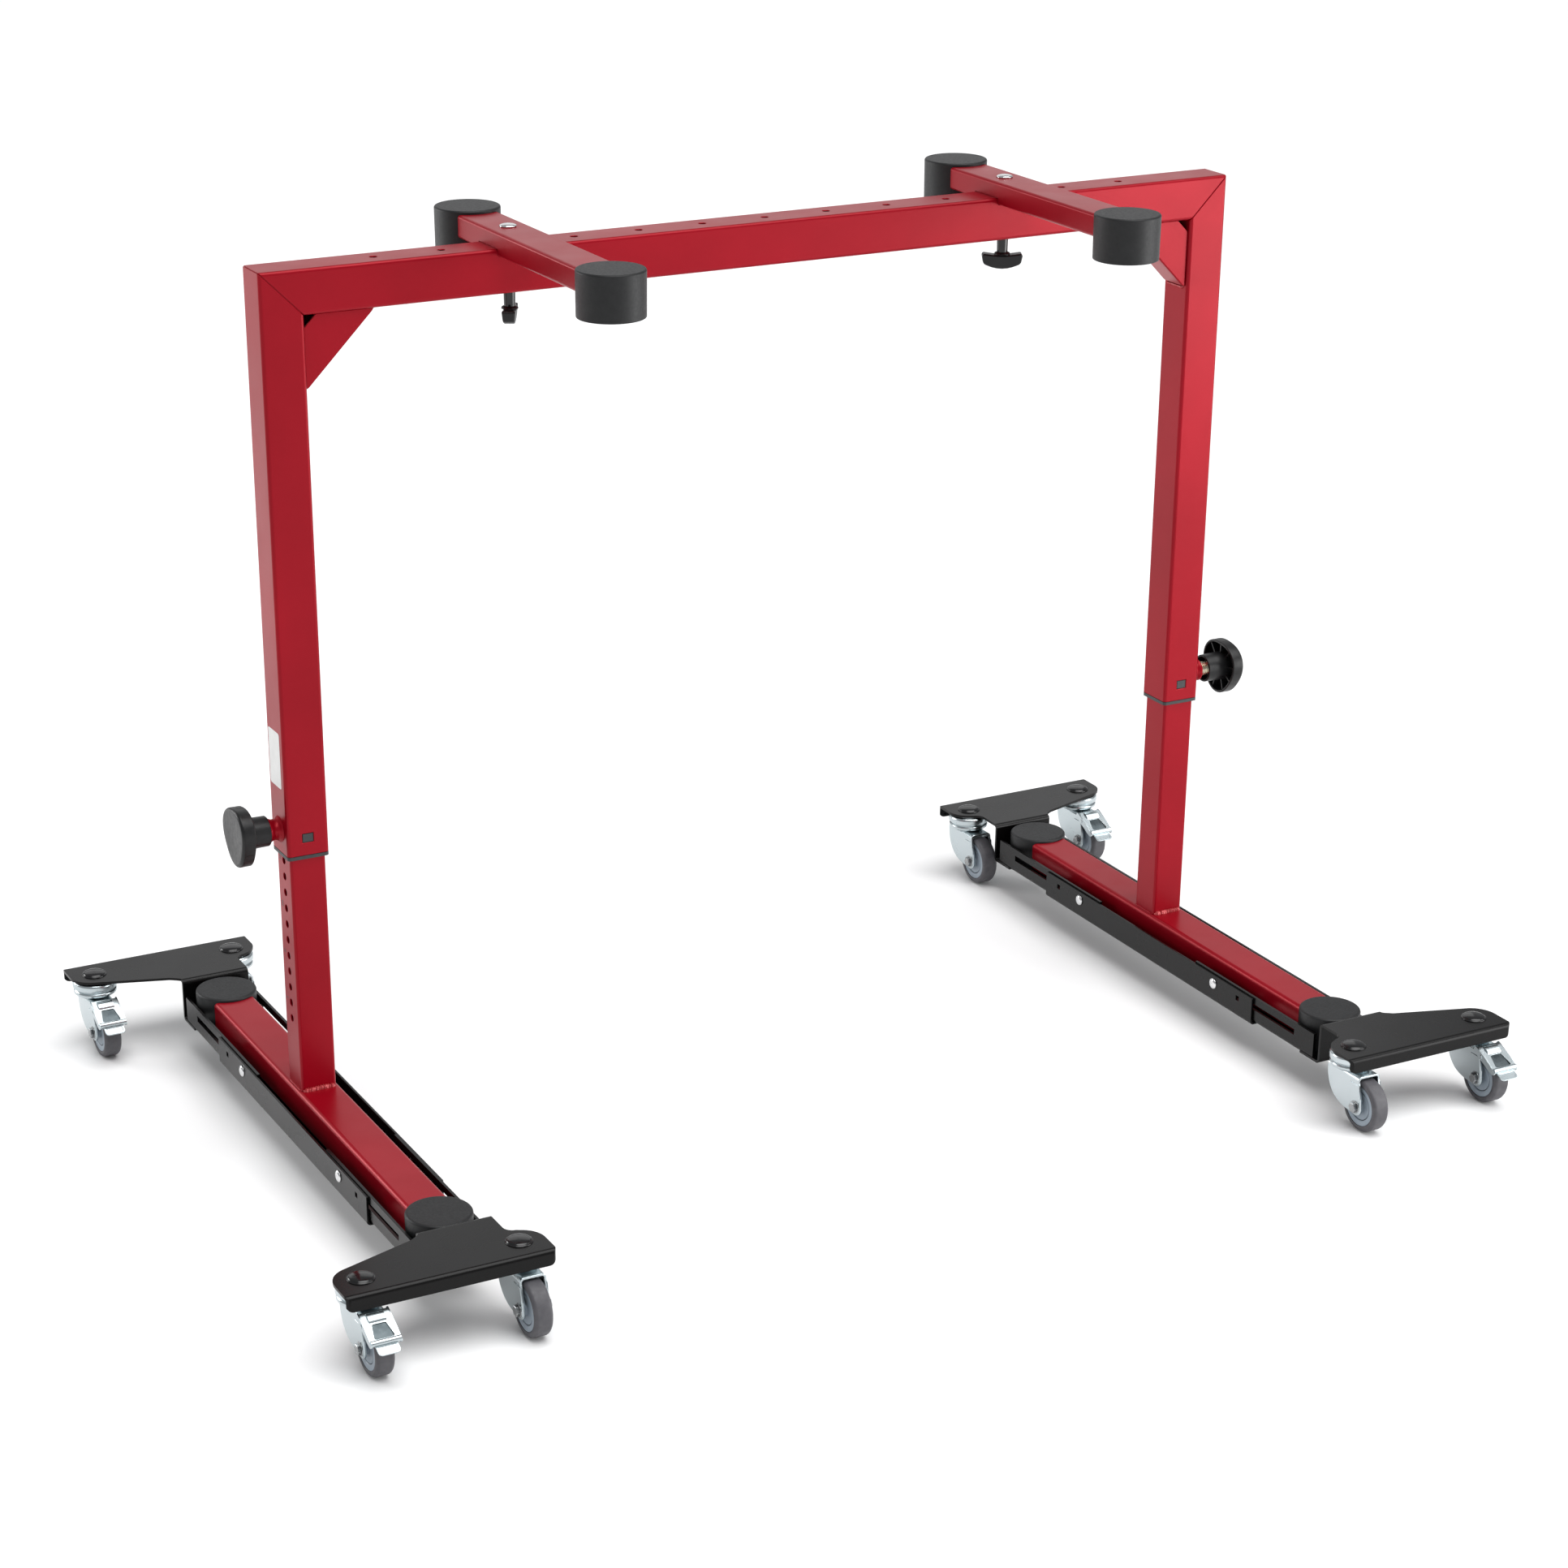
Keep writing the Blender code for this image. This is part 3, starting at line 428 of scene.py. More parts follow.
def turned_about(shape, angle, axis):
    spin = Matrix.Rotation(angle, 3, axis)
    bmesh.ops.rotate(shape, cent=(0, 0, 0), matrix=spin, verts=shape.verts)
    return shape


def temporary(shape, name):
    bmesh.ops.recalc_face_normals(shape, faces=shape.faces)
    mesh = bpy.data.meshes.new(name)
    shape.to_mesh(mesh)
    shape.free()
    obj = bpy.data.objects.new(name, mesh)
    bpy.context.scene.collection.objects.link(obj)
    return obj


def combined(base, tools, operation):
    """Union, cut or intersect shapes one after another, as one new shape."""
    body = temporary(base, "combined_base")
    helpers = [temporary(tool, "combined_tool") for tool in tools]
    for number, helper in enumerate(helpers):
        step = body.modifiers.new("step_%d" % number, "BOOLEAN")
        step.operation = operation
        step.solver = "EXACT"
        step.object = helper
    graph = bpy.context.evaluated_depsgraph_get()
    result = bmesh.new()
    evaluated = body.evaluated_get(graph)
    result.from_mesh(evaluated.to_mesh())
    evaluated.to_mesh_clear()
    for obj in [body, *helpers]:
        mesh = obj.data
        bpy.data.objects.remove(obj, do_unlink=True)
        bpy.data.meshes.remove(mesh)
    bmesh.ops.dissolve_degenerate(result, dist=0.001, edges=result.edges)
    return result


def joined(shapes):
    """Several closed shapes in one."""
    total = bmesh.new()
    for shape in shapes:
        bmesh.ops.recalc_face_normals(shape, faces=shape.faces)
        mesh = bpy.data.meshes.new("joined_part")
        shape.to_mesh(mesh)
        shape.free()
        total.from_mesh(mesh)
        bpy.data.meshes.remove(mesh)
    return total


def add_piece(name, shape, look, body, place=(0, 0, 0), replaces=(), edge=0.0, sharp=40):
    """Put a shape in the scene on a body; its edges are rounded to the edge's width."""
    bmesh.ops.recalc_face_normals(shape, faces=shape.faces)
    moved(shape, place)
    bmesh.ops.scale(shape, vec=(MM, MM, MM), verts=shape.verts)
    mesh = bpy.data.meshes.new(name)
    shape.to_mesh(mesh)
    shape.free()
    mesh.shade_smooth()
    mesh.set_sharp_from_angle(angle=math.radians(sharp))
    mesh.materials.append(look)
    obj = bpy.data.objects.new(name, mesh)
    bpy.context.scene.collection.objects.link(obj)
    if edge:
        bevel = obj.modifiers.new("edge", "BEVEL")
        bevel.width = edge * MM
        bevel.segments = 2
        bevel.limit_method = "ANGLE"
        bevel.angle_limit = math.radians(sharp)
    even = obj.modifiers.new("even_shading", "WEIGHTED_NORMAL")
    even.keep_sharp = True
    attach(obj, body)
    if replaces:
        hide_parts(*replaces)
    return obj


def weld_bead(length, radius, seed):
    """A rippled fillet along X in the corner between a floor and a wall at +Y."""
    source = random.Random(seed)
    count = max(8, int(length / 0.8))
    drift = [source.uniform(-0.22, 0.22) for _ in range(count + 1)]
    loops = []
    for i in range(count + 1):
        x = -length / 2 + length * i / count
        taper = min(1.0, 0.35 + 0.65 * min(i, count - i) / 3)
        size = radius * taper * (1 + 0.16 * math.cos(i * math.pi / 1.5) + 0.5 * drift[i])
        points = [(x, -a, b) for a, b in arc((0, 0), size, 0, 90, 5)]
        loops.append([(x, 0.4, -0.4), *points, (x, 0.4, size * 0.9)])
    return loft(loops)


# Bridge --------------------------------------------------------------------


def add_crossbeam():
    half = BEAM.half.z
    end = BEAM.high.x
    shape = hollow_section(
        half, half, TUBE_WALL, TUBE_ROUND,
        lambda a, b: -(end - (half - b)), lambda a, b: end - (half - b),
    )
    for vert in shape.verts:
        a, b, along = vert.co
        vert.co = (along, a, b)
    count = BEAM_HOLES_PER_SIDE
    holes = [
        prism(circle(BEAM_HOLE_R, 24, (k * BEAM_HOLE_PITCH, 0.0)), -half - 1, half + 1)
        for k in range(-count, count + 1)
    ]
    shape = combined(shape, [joined(holes)], "DIFFERENCE")
    add_piece("beam_tube", shape, RUBY, "bridge", BEAM.mid, ["crossbeam"],
              edge=TUBE_EDGE)


def mitre_seam(side, half):
    """The ground weld in the mitre: a thin square ring on the 45 degree plane."""
    return hollow_section(
        half, half, TUBE_WALL, TUBE_ROUND,
        lambda a, b: side * a - SEAM_HALF, lambda a, b: side * a + SEAM_HALF,
    )


def add_outer_leg(name, side):
    leg = Box(name + "_outer_leg")
    half = leg.half.x
    shape = hollow_section(
        half, half, TUBE_WALL, TUBE_ROUND,
        lambda a, b: leg.low.z, lambda a, b: leg.high.z - (half - side * a),
    )
    pin_z = PIVOT[name + "_knob_turn"].z
    bore = prism(circle(BOSS_BORE_R, 24, (0.0, pin_z)), half - 4, half + 1, "x")
    mirrored(bore, sign_x=side)
    tab_z = Box(name + "_guide_bush").low.z + WINDOW_UP
    wide, tall = WINDOW
    window = box(
        (-wide / 2, -half - 1, tab_z - tall / 2), (wide / 2, -half + 4, tab_z + tall / 2)
    )
    shape = combined(shape, [bore, window], "DIFFERENCE")
    place = (leg.mid.x, LEG_Y, 0)
    add_piece(name + "_leg_tube", shape, RUBY, "bridge", place,
              [name + "_outer_leg"], edge=TUBE_EDGE)
    seam = mitre_seam(side, half - SEAM_INSET)
    place = (leg.mid.x, LEG_Y, BEAM.mid.z)
    add_piece(name + "_mitre_seam", seam, RUBY, "bridge", place)


def gusset_shape(side, width):
    """A bent-sheet corner brace; the corner is at the origin, inboard is +X."""
    edge, lip = GUSSET_LEG, GUSSET_LIP
    outline = (
        (GUSSET_CLIP, 0.0), (edge, 0.0), (edge - 1.0, -lip),
        (lip, -edge + 1.0), (0.0, -edge), (0.0, -GUSSET_CLIP),
    )
    outer = prism(outline, -width / 2, width / 2, "y")
    slope = edge - 1.0 + lip
    fold = [
        e for e in outer.edges if all(abs(v.co.x - v.co.z - slope) < 0.01 for v in e.verts)
        and abs(e.verts[0].co.y - e.verts[1].co.y) < 0.01
    ]
    bmesh.ops.bevel(outer, geom=fold, offset=2.2, segments=4, profile=0.5, affect="EDGES")
    inside = width / 2 - GUSSET_SHEET
    back = slope - GUSSET_SHEET * math.sqrt(2)
    over = 12.0
    corner = ((-over, over), (back + over, over), (-over, -back - over))
    shape = combined(outer, [prism(corner, -inside, inside, "y")], "DIFFERENCE")
    return mirrored(shape, sign_x=side)


def add_gusset(name, side):
    brace = Box(name + "_gusset")
    corner = (brace.low.x if side < 0 else brace.high.x, LEG_Y, brace.high.z)
    shape = gusset_shape(-side, 2 * brace.half.y)
    add_piece(name + "_brace", shape, RUBY, "bridge", corner,
              [name + "_gusset"], edge=0.3)
    # A bead at each toe of the brace, across its width.
    toe = GUSSET_LEG + 0.6
    beam_toe = weld_bead(BRACE_BEAD_LENGTH, BRACE_BEAD_R, 9 + side)
    turned_about(beam_toe, math.pi / 2, "Z")
    turned_about(beam_toe, math.pi, "Y" if side > 0 else "X")
    add_piece(name + "_brace_bead_beam", beam_toe, WELD_WITH_PAINTED_SHEEN, "bridge",
              (corner[0] - side * toe, LEG_Y, corner[2] + 0.3), sharp=60)
    leg_bead = weld_bead(BRACE_BEAD_LENGTH, BRACE_BEAD_R, 13 + side)
    turned_about(leg_bead, math.pi / 2, "Z")
    mirrored(leg_bead, sign_x=-side)
    turned_about(leg_bead, math.pi, "X")
    add_piece(name + "_brace_bead_leg", leg_bead, WELD_WITH_PAINTED_SHEEN, "bridge",
              (corner[0] + side * 0.3, LEG_Y, corner[2] - toe), sharp=60)


def add_guide_bush(name, side):
    """A rim under the outer leg, a sleeve up inside it and the snap tab in its window."""
    bush = Box(name + "_guide_bush")
    half = Box(name + "_outer_leg").half.x
    inner = Box(name + "_inner_leg").half.x + SLIDING_GAP
    rim_top = Box(name + "_outer_leg").low.z - 0.1
    rim = hollow_section(
        half, half, half - inner, TUBE_ROUND,
        lambda a, b: bush.low.z, lambda a, b: rim_top,
    )
    sleeve_half = half - TUBE_WALL - SLIDING_GAP
    sleeve = hollow_section(
        sleeve_half, sleeve_half, sleeve_half - inner, 1.7,
        lambda a, b: rim_top - 1.0, lambda a, b: bush.high.z,
    )
    tab_z = bush.low.z + WINDOW_UP
    wide, tall = WINDOW[0] / 2 - 0.5, WINDOW[1] / 2 - 0.5
    tab = box((-wide, -half + 0.5, tab_z - tall), (wide, -sleeve_half + 0.3, tab_z + tall))
    pin_z = PIVOT[name + "_knob_turn"].z
    bore = prism(circle(LEG_HOLE_R, 24, (0.0, pin_z)), inner - 2, half, "x")
    mirrored(bore, sign_x=side)
    shape = combined(combined(rim, [sleeve, tab], "UNION"), [bore], "DIFFERENCE")
    place = (bush.mid.x, LEG_Y, 0)
    add_piece(name + "_bush", shape, GREY_PLASTIC, "bridge", place,
              [name + "_guide_bush"], edge=0.35)


def add_label():
    """The blank rating label on the outboard face of the left outer leg."""
    leg = Box("left_outer_leg")
    half_w, half_h = LABEL_SIZE[0] / 2, LABEL_SIZE[1] / 2
    shape = prism(rounded_box(half_w, half_h, 2.2), -0.12, 0.05, "x")
    place = (leg.low.x, LEG_Y + 1.8, leg.low.z + LABEL_UP)
    add_piece("rating_label", shape, LABEL, "bridge", place, edge=0.04)


# Arms ----------------------------------------------------------------------


def cap_centre(node):
    """Where a cap's disc is along Y. Its plug, on the side of the stand's middle, isn't counted."""
    cap = Box(node)
    return cap.low.y + CAP_R if cap.mid.y < FOOT_Y else cap.high.y - CAP_R


def add_arm(name):
    arm = Box(name + "_arm")
    half_w, half_h = arm.half.x, arm.half.z
    rear, front = (cap_centre(name + "_arm_cap_" + end) - LEG_Y for end in ("rear", "front"))
    shape = laid_along_y(hollow_section(
        half_w, half_h, TUBE_WALL, ARM_ROUND, lambda a, b: front, lambda a, b: rear
    ))
    saddles = [prism(circle(CAP_R + SADDLE_GAP, 64, (0.0, y)), -30, 30) for y in (front, rear)]
    half_beam = BEAM.half.y + 0.3
    beam_top = BEAM.high.z - arm.mid.z
    notch = box((-half_w - 1, -half_beam, -half_h - 1), (half_w + 1, half_beam, beam_top + 0.2))
    shape = combined(shape, [*saddles, notch], "DIFFERENCE")
    place = (arm.mid.x, LEG_Y, arm.mid.z)
    add_piece(name + "_arm_tube", shape, RUBY, "bridge", place,
              [name + "_arm"], edge=0.4)
    for y in (-half_beam - 0.2, half_beam + 0.2):
        bead = weld_bead(2 * half_w - 3, NOTCH_BEAD_R, int(y))
        mirrored(bead, sign_y=1 if y < 0 else -1)
        add_piece("%s_notch_edge_%s" % (name, "front" if y < 0 else "rear"), bead, RUBY,
                  "bridge", (arm.mid.x, LEG_Y + y, BEAM.high.z - 6.2), sharp=60)


def cap_profile(height, top_round, draft):
    """(radius, height) levels of a rubber end cap, its top at 0."""
    side, foot_round = CAP_R - 0.1, 0.8
    levels = [(1.0, -height)]
    levels += arc((side - draft - foot_round, -height + foot_round), foot_round, -90, 0, 4)
    levels += arc((side - top_round, -top_round), top_round, 0, 90, 6)
    levels += [(side - top_round - 5.0, 0.0), (1.0, 0.0)]
    return levels


def add_cap(node, piece, body, top_round=1.8, draft=0.25):
    cap = Box(node)
    shape = stacked(cap_profile(2 * cap.half.z, top_round, draft), 72)
    add_piece(piece, shape, RUBBER, body,
              (cap.mid.x, cap_centre(node), cap.high.z), [node], sharp=50)


def add_arm_bolt(name):
    bolt = Box(name + "_arm_bolt")
    arm_top = Box(name + "_arm").high.z
    head = bolt.half.x
    rim = arm_top + BOLT_RIM
    levels = [
        (BOLT_SHANK_R, bolt.low.z), (BOLT_SHANK_R, arm_top), (head - 0.3, arm_top + 0.05),
        (head, arm_top + 0.35), (head, rim),
    ]
    levels += dome(head, bolt.high.z - rim, rim, range(12, 90, 13))
    place = (bolt.mid.x, bolt.mid.y, 0)
    add_piece(name + "_bolt", stacked(levels, 48), STEEL, "bridge", place,
              [name + "_arm_bolt"], sharp=50)


def add_wing_knob(name):
    knob = Box(name + "_wing_knob")
    span, top, low = WING_SPAN, WING_TOP, WING_LOW
    outline = [(-span, top - 2.2), (-span + 0.6, top - 0.4), (-span + 1.8, top)]
    outline += [(x, top - 1.6 * math.cos(x / 16.0 * math.pi / 2)) for x in range(-14, 15, 4)]
    outline += [(span - 1.8, top), (span - 0.6, top - 0.4), (span, top - 2.2)]
    outline += [(span - 1.0, low + 6.2), (span - 2.0, low + 4.2)]
    outline += [(x, low + 3.6 * (x / 15.0) ** 2) for x in (13, 9, 5, 0, -5, -9, -13)]
    outline += [(-span + 2.0, low + 4.2), (-span + 1.0, low + 6.2)]
    wings = prism(outline, -WING_THICK / 2, WING_THICK / 2, "y")
    # The grips are thinner at the bottom than at the top.
    for vert in wings.verts:
        vert.co.y *= 1.0 - 0.22 * (top - vert.co.z) / (top - low)
    turned_about(wings, math.radians(WING_TURN[name]), "Z")
    pivot = PIVOT[name + "_wing_turn"]
    place = (pivot.x, pivot.y, knob.high.z)
    body = name + "_wing"
    add_piece(name + "_wing_grip", wings, PLASTIC, body, place,
              [name + "_wing_knob"], edge=1.3)
    hub = [(4.9, -18.0), (5.2, -0.5), (4.9, 0.0)]
    add_piece(name + "_wing_stem", stacked(hub, 40), GLOSS_PLASTIC, body, place)
    seat = [(7.4, -16.6), (7.0, -15.2), (5.6, -14.4), (5.0, -14.2)]
    add_piece(name + "_wing_collar", stacked(seat, 40), PLASTIC, body, place,
              sharp=60)


# Height locks --------------------------------------------------------------


def add_boss(name, side):
    """The ring welded on the leg, waisted between its weld and its rim."""
    boss = Box(name + "_pin_boss")
    length = 2 * boss.half.x
    radius = boss.half.z
    outer = smooth_line(
        [(radius + 0.5, -0.2), (radius - 0.6, 1.4), (radius - 1.9, 3.2), (radius - 2.1, 6.5),
         (radius - 0.9, length - 2.4), (radius - 0.5, length - 0.9)], 3
    )
    bore = BOSS_BORE_R
    profile = [(bore, -0.2), *outer, (radius - 1.2, length), (bore + 0.7, length),
               (bore, length - 0.7)]
    shape = mirrored(turned(profile, 48, "x"), sign_x=side)
    inner_face = boss.high.x if side < 0 else boss.low.x
    add_piece(name + "_boss", shape, RUBY, "bridge",
              (inner_face, boss.mid.y, boss.mid.z), [name + "_pin_boss"], sharp=60)


def add_pin(name, side):
    pin = Box(name + "_index_pin")
    tip = pin.high.x if side < 0 else pin.low.x
    reach = 2 * pin.half.x
    collar = Box(name + "_height_knob")
    hub_end = abs((collar.high.x if side < 0 else collar.low.x) - tip)
    shaft = [(2.0, 0.0), (2.9, 0.9), (2.9, 8.0), (6.4, 8.2), (6.8, 8.8)]
    threads = []
    along = 9.6
    while along < hub_end + 4.0:
        threads += [(6.8, along), (6.2, along + 0.5), (6.8, along + 1.0)]
        along += THREAD_PITCH
    levels = shaft + threads + [(6.0, along), (4.0, along + 0.3), (4.0, reach)]
    shape = mirrored(stacked(levels, 32, "x"), sign_x=side)
    add_piece(name + "_pin", shape, BRASS, name + "_lock",
              (tip, pin.mid.y, pin.mid.z), [name + "_index_pin"], sharp=60)


def knob_loop(radius, lobe, x, sides=96):
    """A loop about X that swells into three lobes."""
    points = []
    for i in range(sides):
        angle = 2 * math.pi * i / sides
        reach = radius + lobe * math.cos(3 * (angle - KNOB_PHASE))
        points.append((x, reach * math.cos(angle), reach * math.sin(angle)))
    return points


def add_height_knob(name, side):
    """A three-lobed knob with a hollow, ribbed back; its face is at 0, its hub at -X."""
    knob = Box(name + "_height_knob")
    face = knob.low.x if side < 0 else knob.high.x
    hub_end = -2 * knob.half.x
    radius, lobe, disc = KNOB_R, KNOB_LOBE, KNOB_DISC
    loops = [knob_loop(0.6, 0.0, -0.5), knob_loop(14.0, 0.2, -0.35), knob_loop(18.4, 0.4, 0.0)]
    for degrees in range(0, 91, 15):
        a = math.radians(degrees)
        loops.append(knob_loop(radius - 3.0 + 3.0 * math.sin(a), lobe, -3.0 + 3.0 * math.cos(a)))
    loops += [
        knob_loop(radius - 0.1, lobe, -disc + 0.9), knob_loop(radius - 0.7, lobe, -disc + 0.1),
        knob_loop(radius - 2.0, lobe, -disc), knob_loop(radius - 2.7, lobe, -disc + 0.7),
        knob_loop(radius - 3.2, lobe, -4.2), knob_loop(17.0, 0.6, -3.4),
        knob_loop(15.2, 0.0, -4.4), knob_loop(14.0, 0.0, -7.0), knob_loop(13.5, 0.0, hub_end + 0.7),
        knob_loop(12.9, 0.0, hub_end), knob_loop(11.9, 0.0, hub_end),
        knob_loop(11.4, 0.0, hub_end + 0.6), knob_loop(11.2, 0.0, hub_end + 8.0),
        knob_loop(4.2, 0.0, hub_end + 8.4), knob_loop(4.2, 0.0, -6.0),
    ]
    shell = loft(loops)
    ribs = []
    for i in range(KNOB_RIBS):
        rib = box((-disc + 1.6, 13.0, -0.7), (-3.0, radius - 1.5, 0.7))
        ribs.append(turned_about(rib, 2 * math.pi * (i + 0.3) / KNOB_RIBS, "X"))
    shape = joined([shell, *ribs])
    if side < 0:
        turned_about(shape, math.pi, "Z")
    pivot = PIVOT[name + "_knob_turn"]
    add_piece(name + "_knob_grip", shape, PLASTIC, name + "_knob",
              (face, pivot.y, pivot.z), [name + "_height_knob"], sharp=50)


# Legs and feet -------------------------------------------------------------


def add_inner_leg(name, side):
    leg = Box(name + "_inner_leg")
    half = leg.half.x
    shape = hollow_section(
        half, half, LEG_WALL, LEG_ROUND, lambda a, b: leg.low.z, lambda a, b: leg.high.z
    )
    holes = [
        prism(circle(LEG_HOLE_R, 24, (0.0, FIRST_HOLE + k * HOLE_PITCH)), half - 4, half + 1, "x")
        for k in range(LEG_HOLES)
    ]
    cutter = mirrored(joined(holes), sign_x=side)
    shape = combined(shape, [cutter], "DIFFERENCE")
    body = name + "_leg"
    place = (leg.mid.x, LEG_Y, 0)
    add_piece(name + "_post", shape, RUBY, body, place,
              [name + "_inner_leg"], edge=0.35)
    marks = []
    for k, strokes in MARKED_HOLES:
        middle = FIRST_HOLE + k * HOLE_PITCH + 2.0
        for i in range(strokes):
            z = middle + (i - (strokes - 1) / 2) * MARK_PITCH
            low, high = sorted((side * (half - 0.2), side * (half + 0.06)))
            marks.append(box((low, 6.6, z - 0.42), (high, 11.2, z + 0.42)))
    add_piece(name + "_height_marks", joined(marks), MARK_INK, body, place)
    foot_top = Box(name + "_foot_tube").high.z
    for y, end in ((-half, "front"), (half, "rear")):
        bead = weld_bead(2 * half - 2.5, FOOT_WELD_R, 40 + side + int(y))
        mirrored(bead, sign_y=1 if y < 0 else -1)
        add_piece("%s_foot_weld_%s" % (name, end), bead, WELD_WITH_PAINTED_SHEEN, body,
                  (leg.mid.x, LEG_Y + y, foot_top), sharp=70)
    for sign in (-1, 1):
        bead = weld_bead(2 * half - 4, SIDE_WELD_R, 60 + sign + side)
        turned_about(bead, math.pi / 2, "Z")
        mirrored(bead, sign_x=sign)
        add_piece("%s_foot_weld_%s" % (name, "inner" if sign == -side else "outer"), bead, RUBY,
                  body, (leg.mid.x + sign * half, LEG_Y, foot_top), sharp=70)


def add_foot_tube(name):
    foot = Box(name + "_foot_tube")
    half_w, half_h = foot.half.x, foot.half.z
    low, high = (
        cap_centre("%s_foot_disc_%s" % (name, end)) - foot.mid.y for end in ("front", "rear")
    )
    shape = laid_along_y(hollow_section(
        half_w, half_h, LEG_WALL, FOOT_ROUND, lambda a, b: low, lambda a, b: high
    ))
    saddles = [prism(circle(CAP_R + SADDLE_GAP, 64, (0.0, y)), -30, 30) for y in (low, high)]
    shape = combined(shape, saddles, "DIFFERENCE")
    add_piece(name + "_foot", shape, RUBY, name + "_leg", foot.mid,
              [name + "_foot_tube"], edge=0.35)


# Trolleys ------------------------------------------------------------------


def add_channel(name):
    """The folded channel under a foot, with a square punch and a screw at each quarter."""
    channel = Box(name + "_trolley_channel")
    half, floor, top = channel.half.x, channel.low.z, channel.high.z
    mid = CHANNEL_SHEET / 2
    path = bent_path(
        ((-half + mid, top), (-half + mid, floor + mid), (half - mid, floor + mid),
         (half - mid, top)), CHANNEL_BEND
    )
    shape = prism(strip(path, CHANNEL_SHEET), -channel.half.y, channel.half.y, "y")
    cuts = []
    z = floor + SCREW_UP
    for side in (-1, 1):
        low, high = sorted((side * (half - 3.0), side * (half + 1.0)))
        for end in (-1, 1):
            y = end * SQUARE_V
            cuts.append(box((low, y - SQUARE_HALF, z - SQUARE_HALF),
                            (high, y + SQUARE_HALF, z + SQUARE_HALF)))
    shape = combined(shape, [joined(cuts)], "DIFFERENCE")
    body = name + "_leg"
    place = (channel.mid.x, channel.mid.y, 0)
    add_piece(name + "_channel", shape, POWDER, body, place,
              [name + "_trolley_channel"], edge=0.35)
    for side, face in ((-1, "a"), (1, "b")):
        for end, label in ((-1, "front"), (1, "rear")):
            head = [(2.5, -5.2), (2.5, -0.1), (5.2, 0.0), (5.4, 0.3), (5.4, 0.7), (5.0, 1.3)]
            head += [(4.0, 1.9), (2.6, 2.25), (1.2, 2.35), (0.9, 2.1), (0.3, 2.0)]
            screw = mirrored(stacked(head, 32, "x"), sign_x=side)
            at = (channel.mid.x + side * half, channel.mid.y + end * SCREW_V, z)
            add_piece("%s_screw_%s_%s" % (name, face, label), screw, STEEL, body,
                      at, sharp=60)


def plate_outline(neck, edge):
    """The caster plate from above: outboard is -a and outward is +b."""
    out_round, in_round, end_round = 23.0, 22.0, 5.0
    out_v, in_v = CASTER_V + 2.0, CASTER_V + 3.0
    points = arc((-PLATE_OUTBOARD + end_round, edge - end_round), end_round, 90, 180, 5)
    points += arc((-PLATE_OUTBOARD + out_round, out_v), out_round, 180, 248, 9)
    points += smooth_line([(-neck - 9.0, 302.0), (-neck - 2.4, 297.4), (-neck, 295.0)], 3)
    notch = 9.0
    points += [(neck, 295.0)]
    points += arc((neck + notch, in_v - in_round - notch), notch, 180, 95, 6)
    points += arc((PLATE_INBOARD - in_round, in_v), in_round, 292, 360, 9)
    points += arc((PLATE_INBOARD - end_round, edge - end_round), end_round, 0, 90, 5)
    return points


def slide_shape(half, floor, wall_top, plate_top, inner_end, edge):
    """A caster carrier: slide channel, end web, caster plate and its flange."""
    sheet, bend = SLIDE_SHEET, SLIDE_BEND
    mid = sheet / 2
    walls = bent_path(
        ((-half + mid, wall_top), (-half + mid, floor + mid), (half - mid, floor + mid),
         (half - mid, wall_top)), bend
    )
    channel = prism(strip(walls, sheet), inner_end, SLIDE_SIDE_END, "y")
    neck = bent_path(
        ((SLIDE_SIDE_END - 20, floor + mid), (WEB_V + mid, floor + mid),
         (WEB_V + mid, plate_top - mid), (WEB_V + 26.0, plate_top - mid)), bend
    )
    neck = prism(strip(neck, sheet), -half, half, "x")
    top = bent_path(
        ((WEB_V, plate_top - mid), (edge - mid, plate_top - mid),
         (edge - mid, plate_top - FLANGE_HEIGHT)), bend
    )
    top = prism(strip(top, sheet), -PLATE_OUTBOARD - 5, PLATE_INBOARD + 5, "x")
    outline = prism(plate_outline(half, edge), plate_top - 30, plate_top + 10)
    corner, low = FLANGE_CORNER, plate_top - FLANGE_HEIGHT
    front = arc((-PLATE_OUTBOARD + corner, low + corner), corner, 180, 270, 6)
    front += arc((PLATE_INBOARD - corner, low + corner), corner, 270, 360, 6)
    front += [(PLATE_INBOARD, plate_top + 5), (-PLATE_OUTBOARD, plate_top + 5)]
    front = prism([(a, -b) for a, b in front], WEB_V - 5.0, WEB_V + 90.0)
    plate = combined(top, [outline, turned_about(front, math.radians(-90), "X")], "INTERSECT")
    shape = combined(channel, [neck, plate], "UNION")
    z = floor - 2.3 + SCREW_UP
    cuts = []
    for side in (-1, 1):
        low, high = sorted((side * (half - sheet - 1.0), side * (half + 1.0)))
        cuts.append(box((low, SLOT[0], z - SLOT_HALF), (high, SLOT[1], z + SLOT_HALF)))
    return combined(shape, [joined(cuts)], "DIFFERENCE")


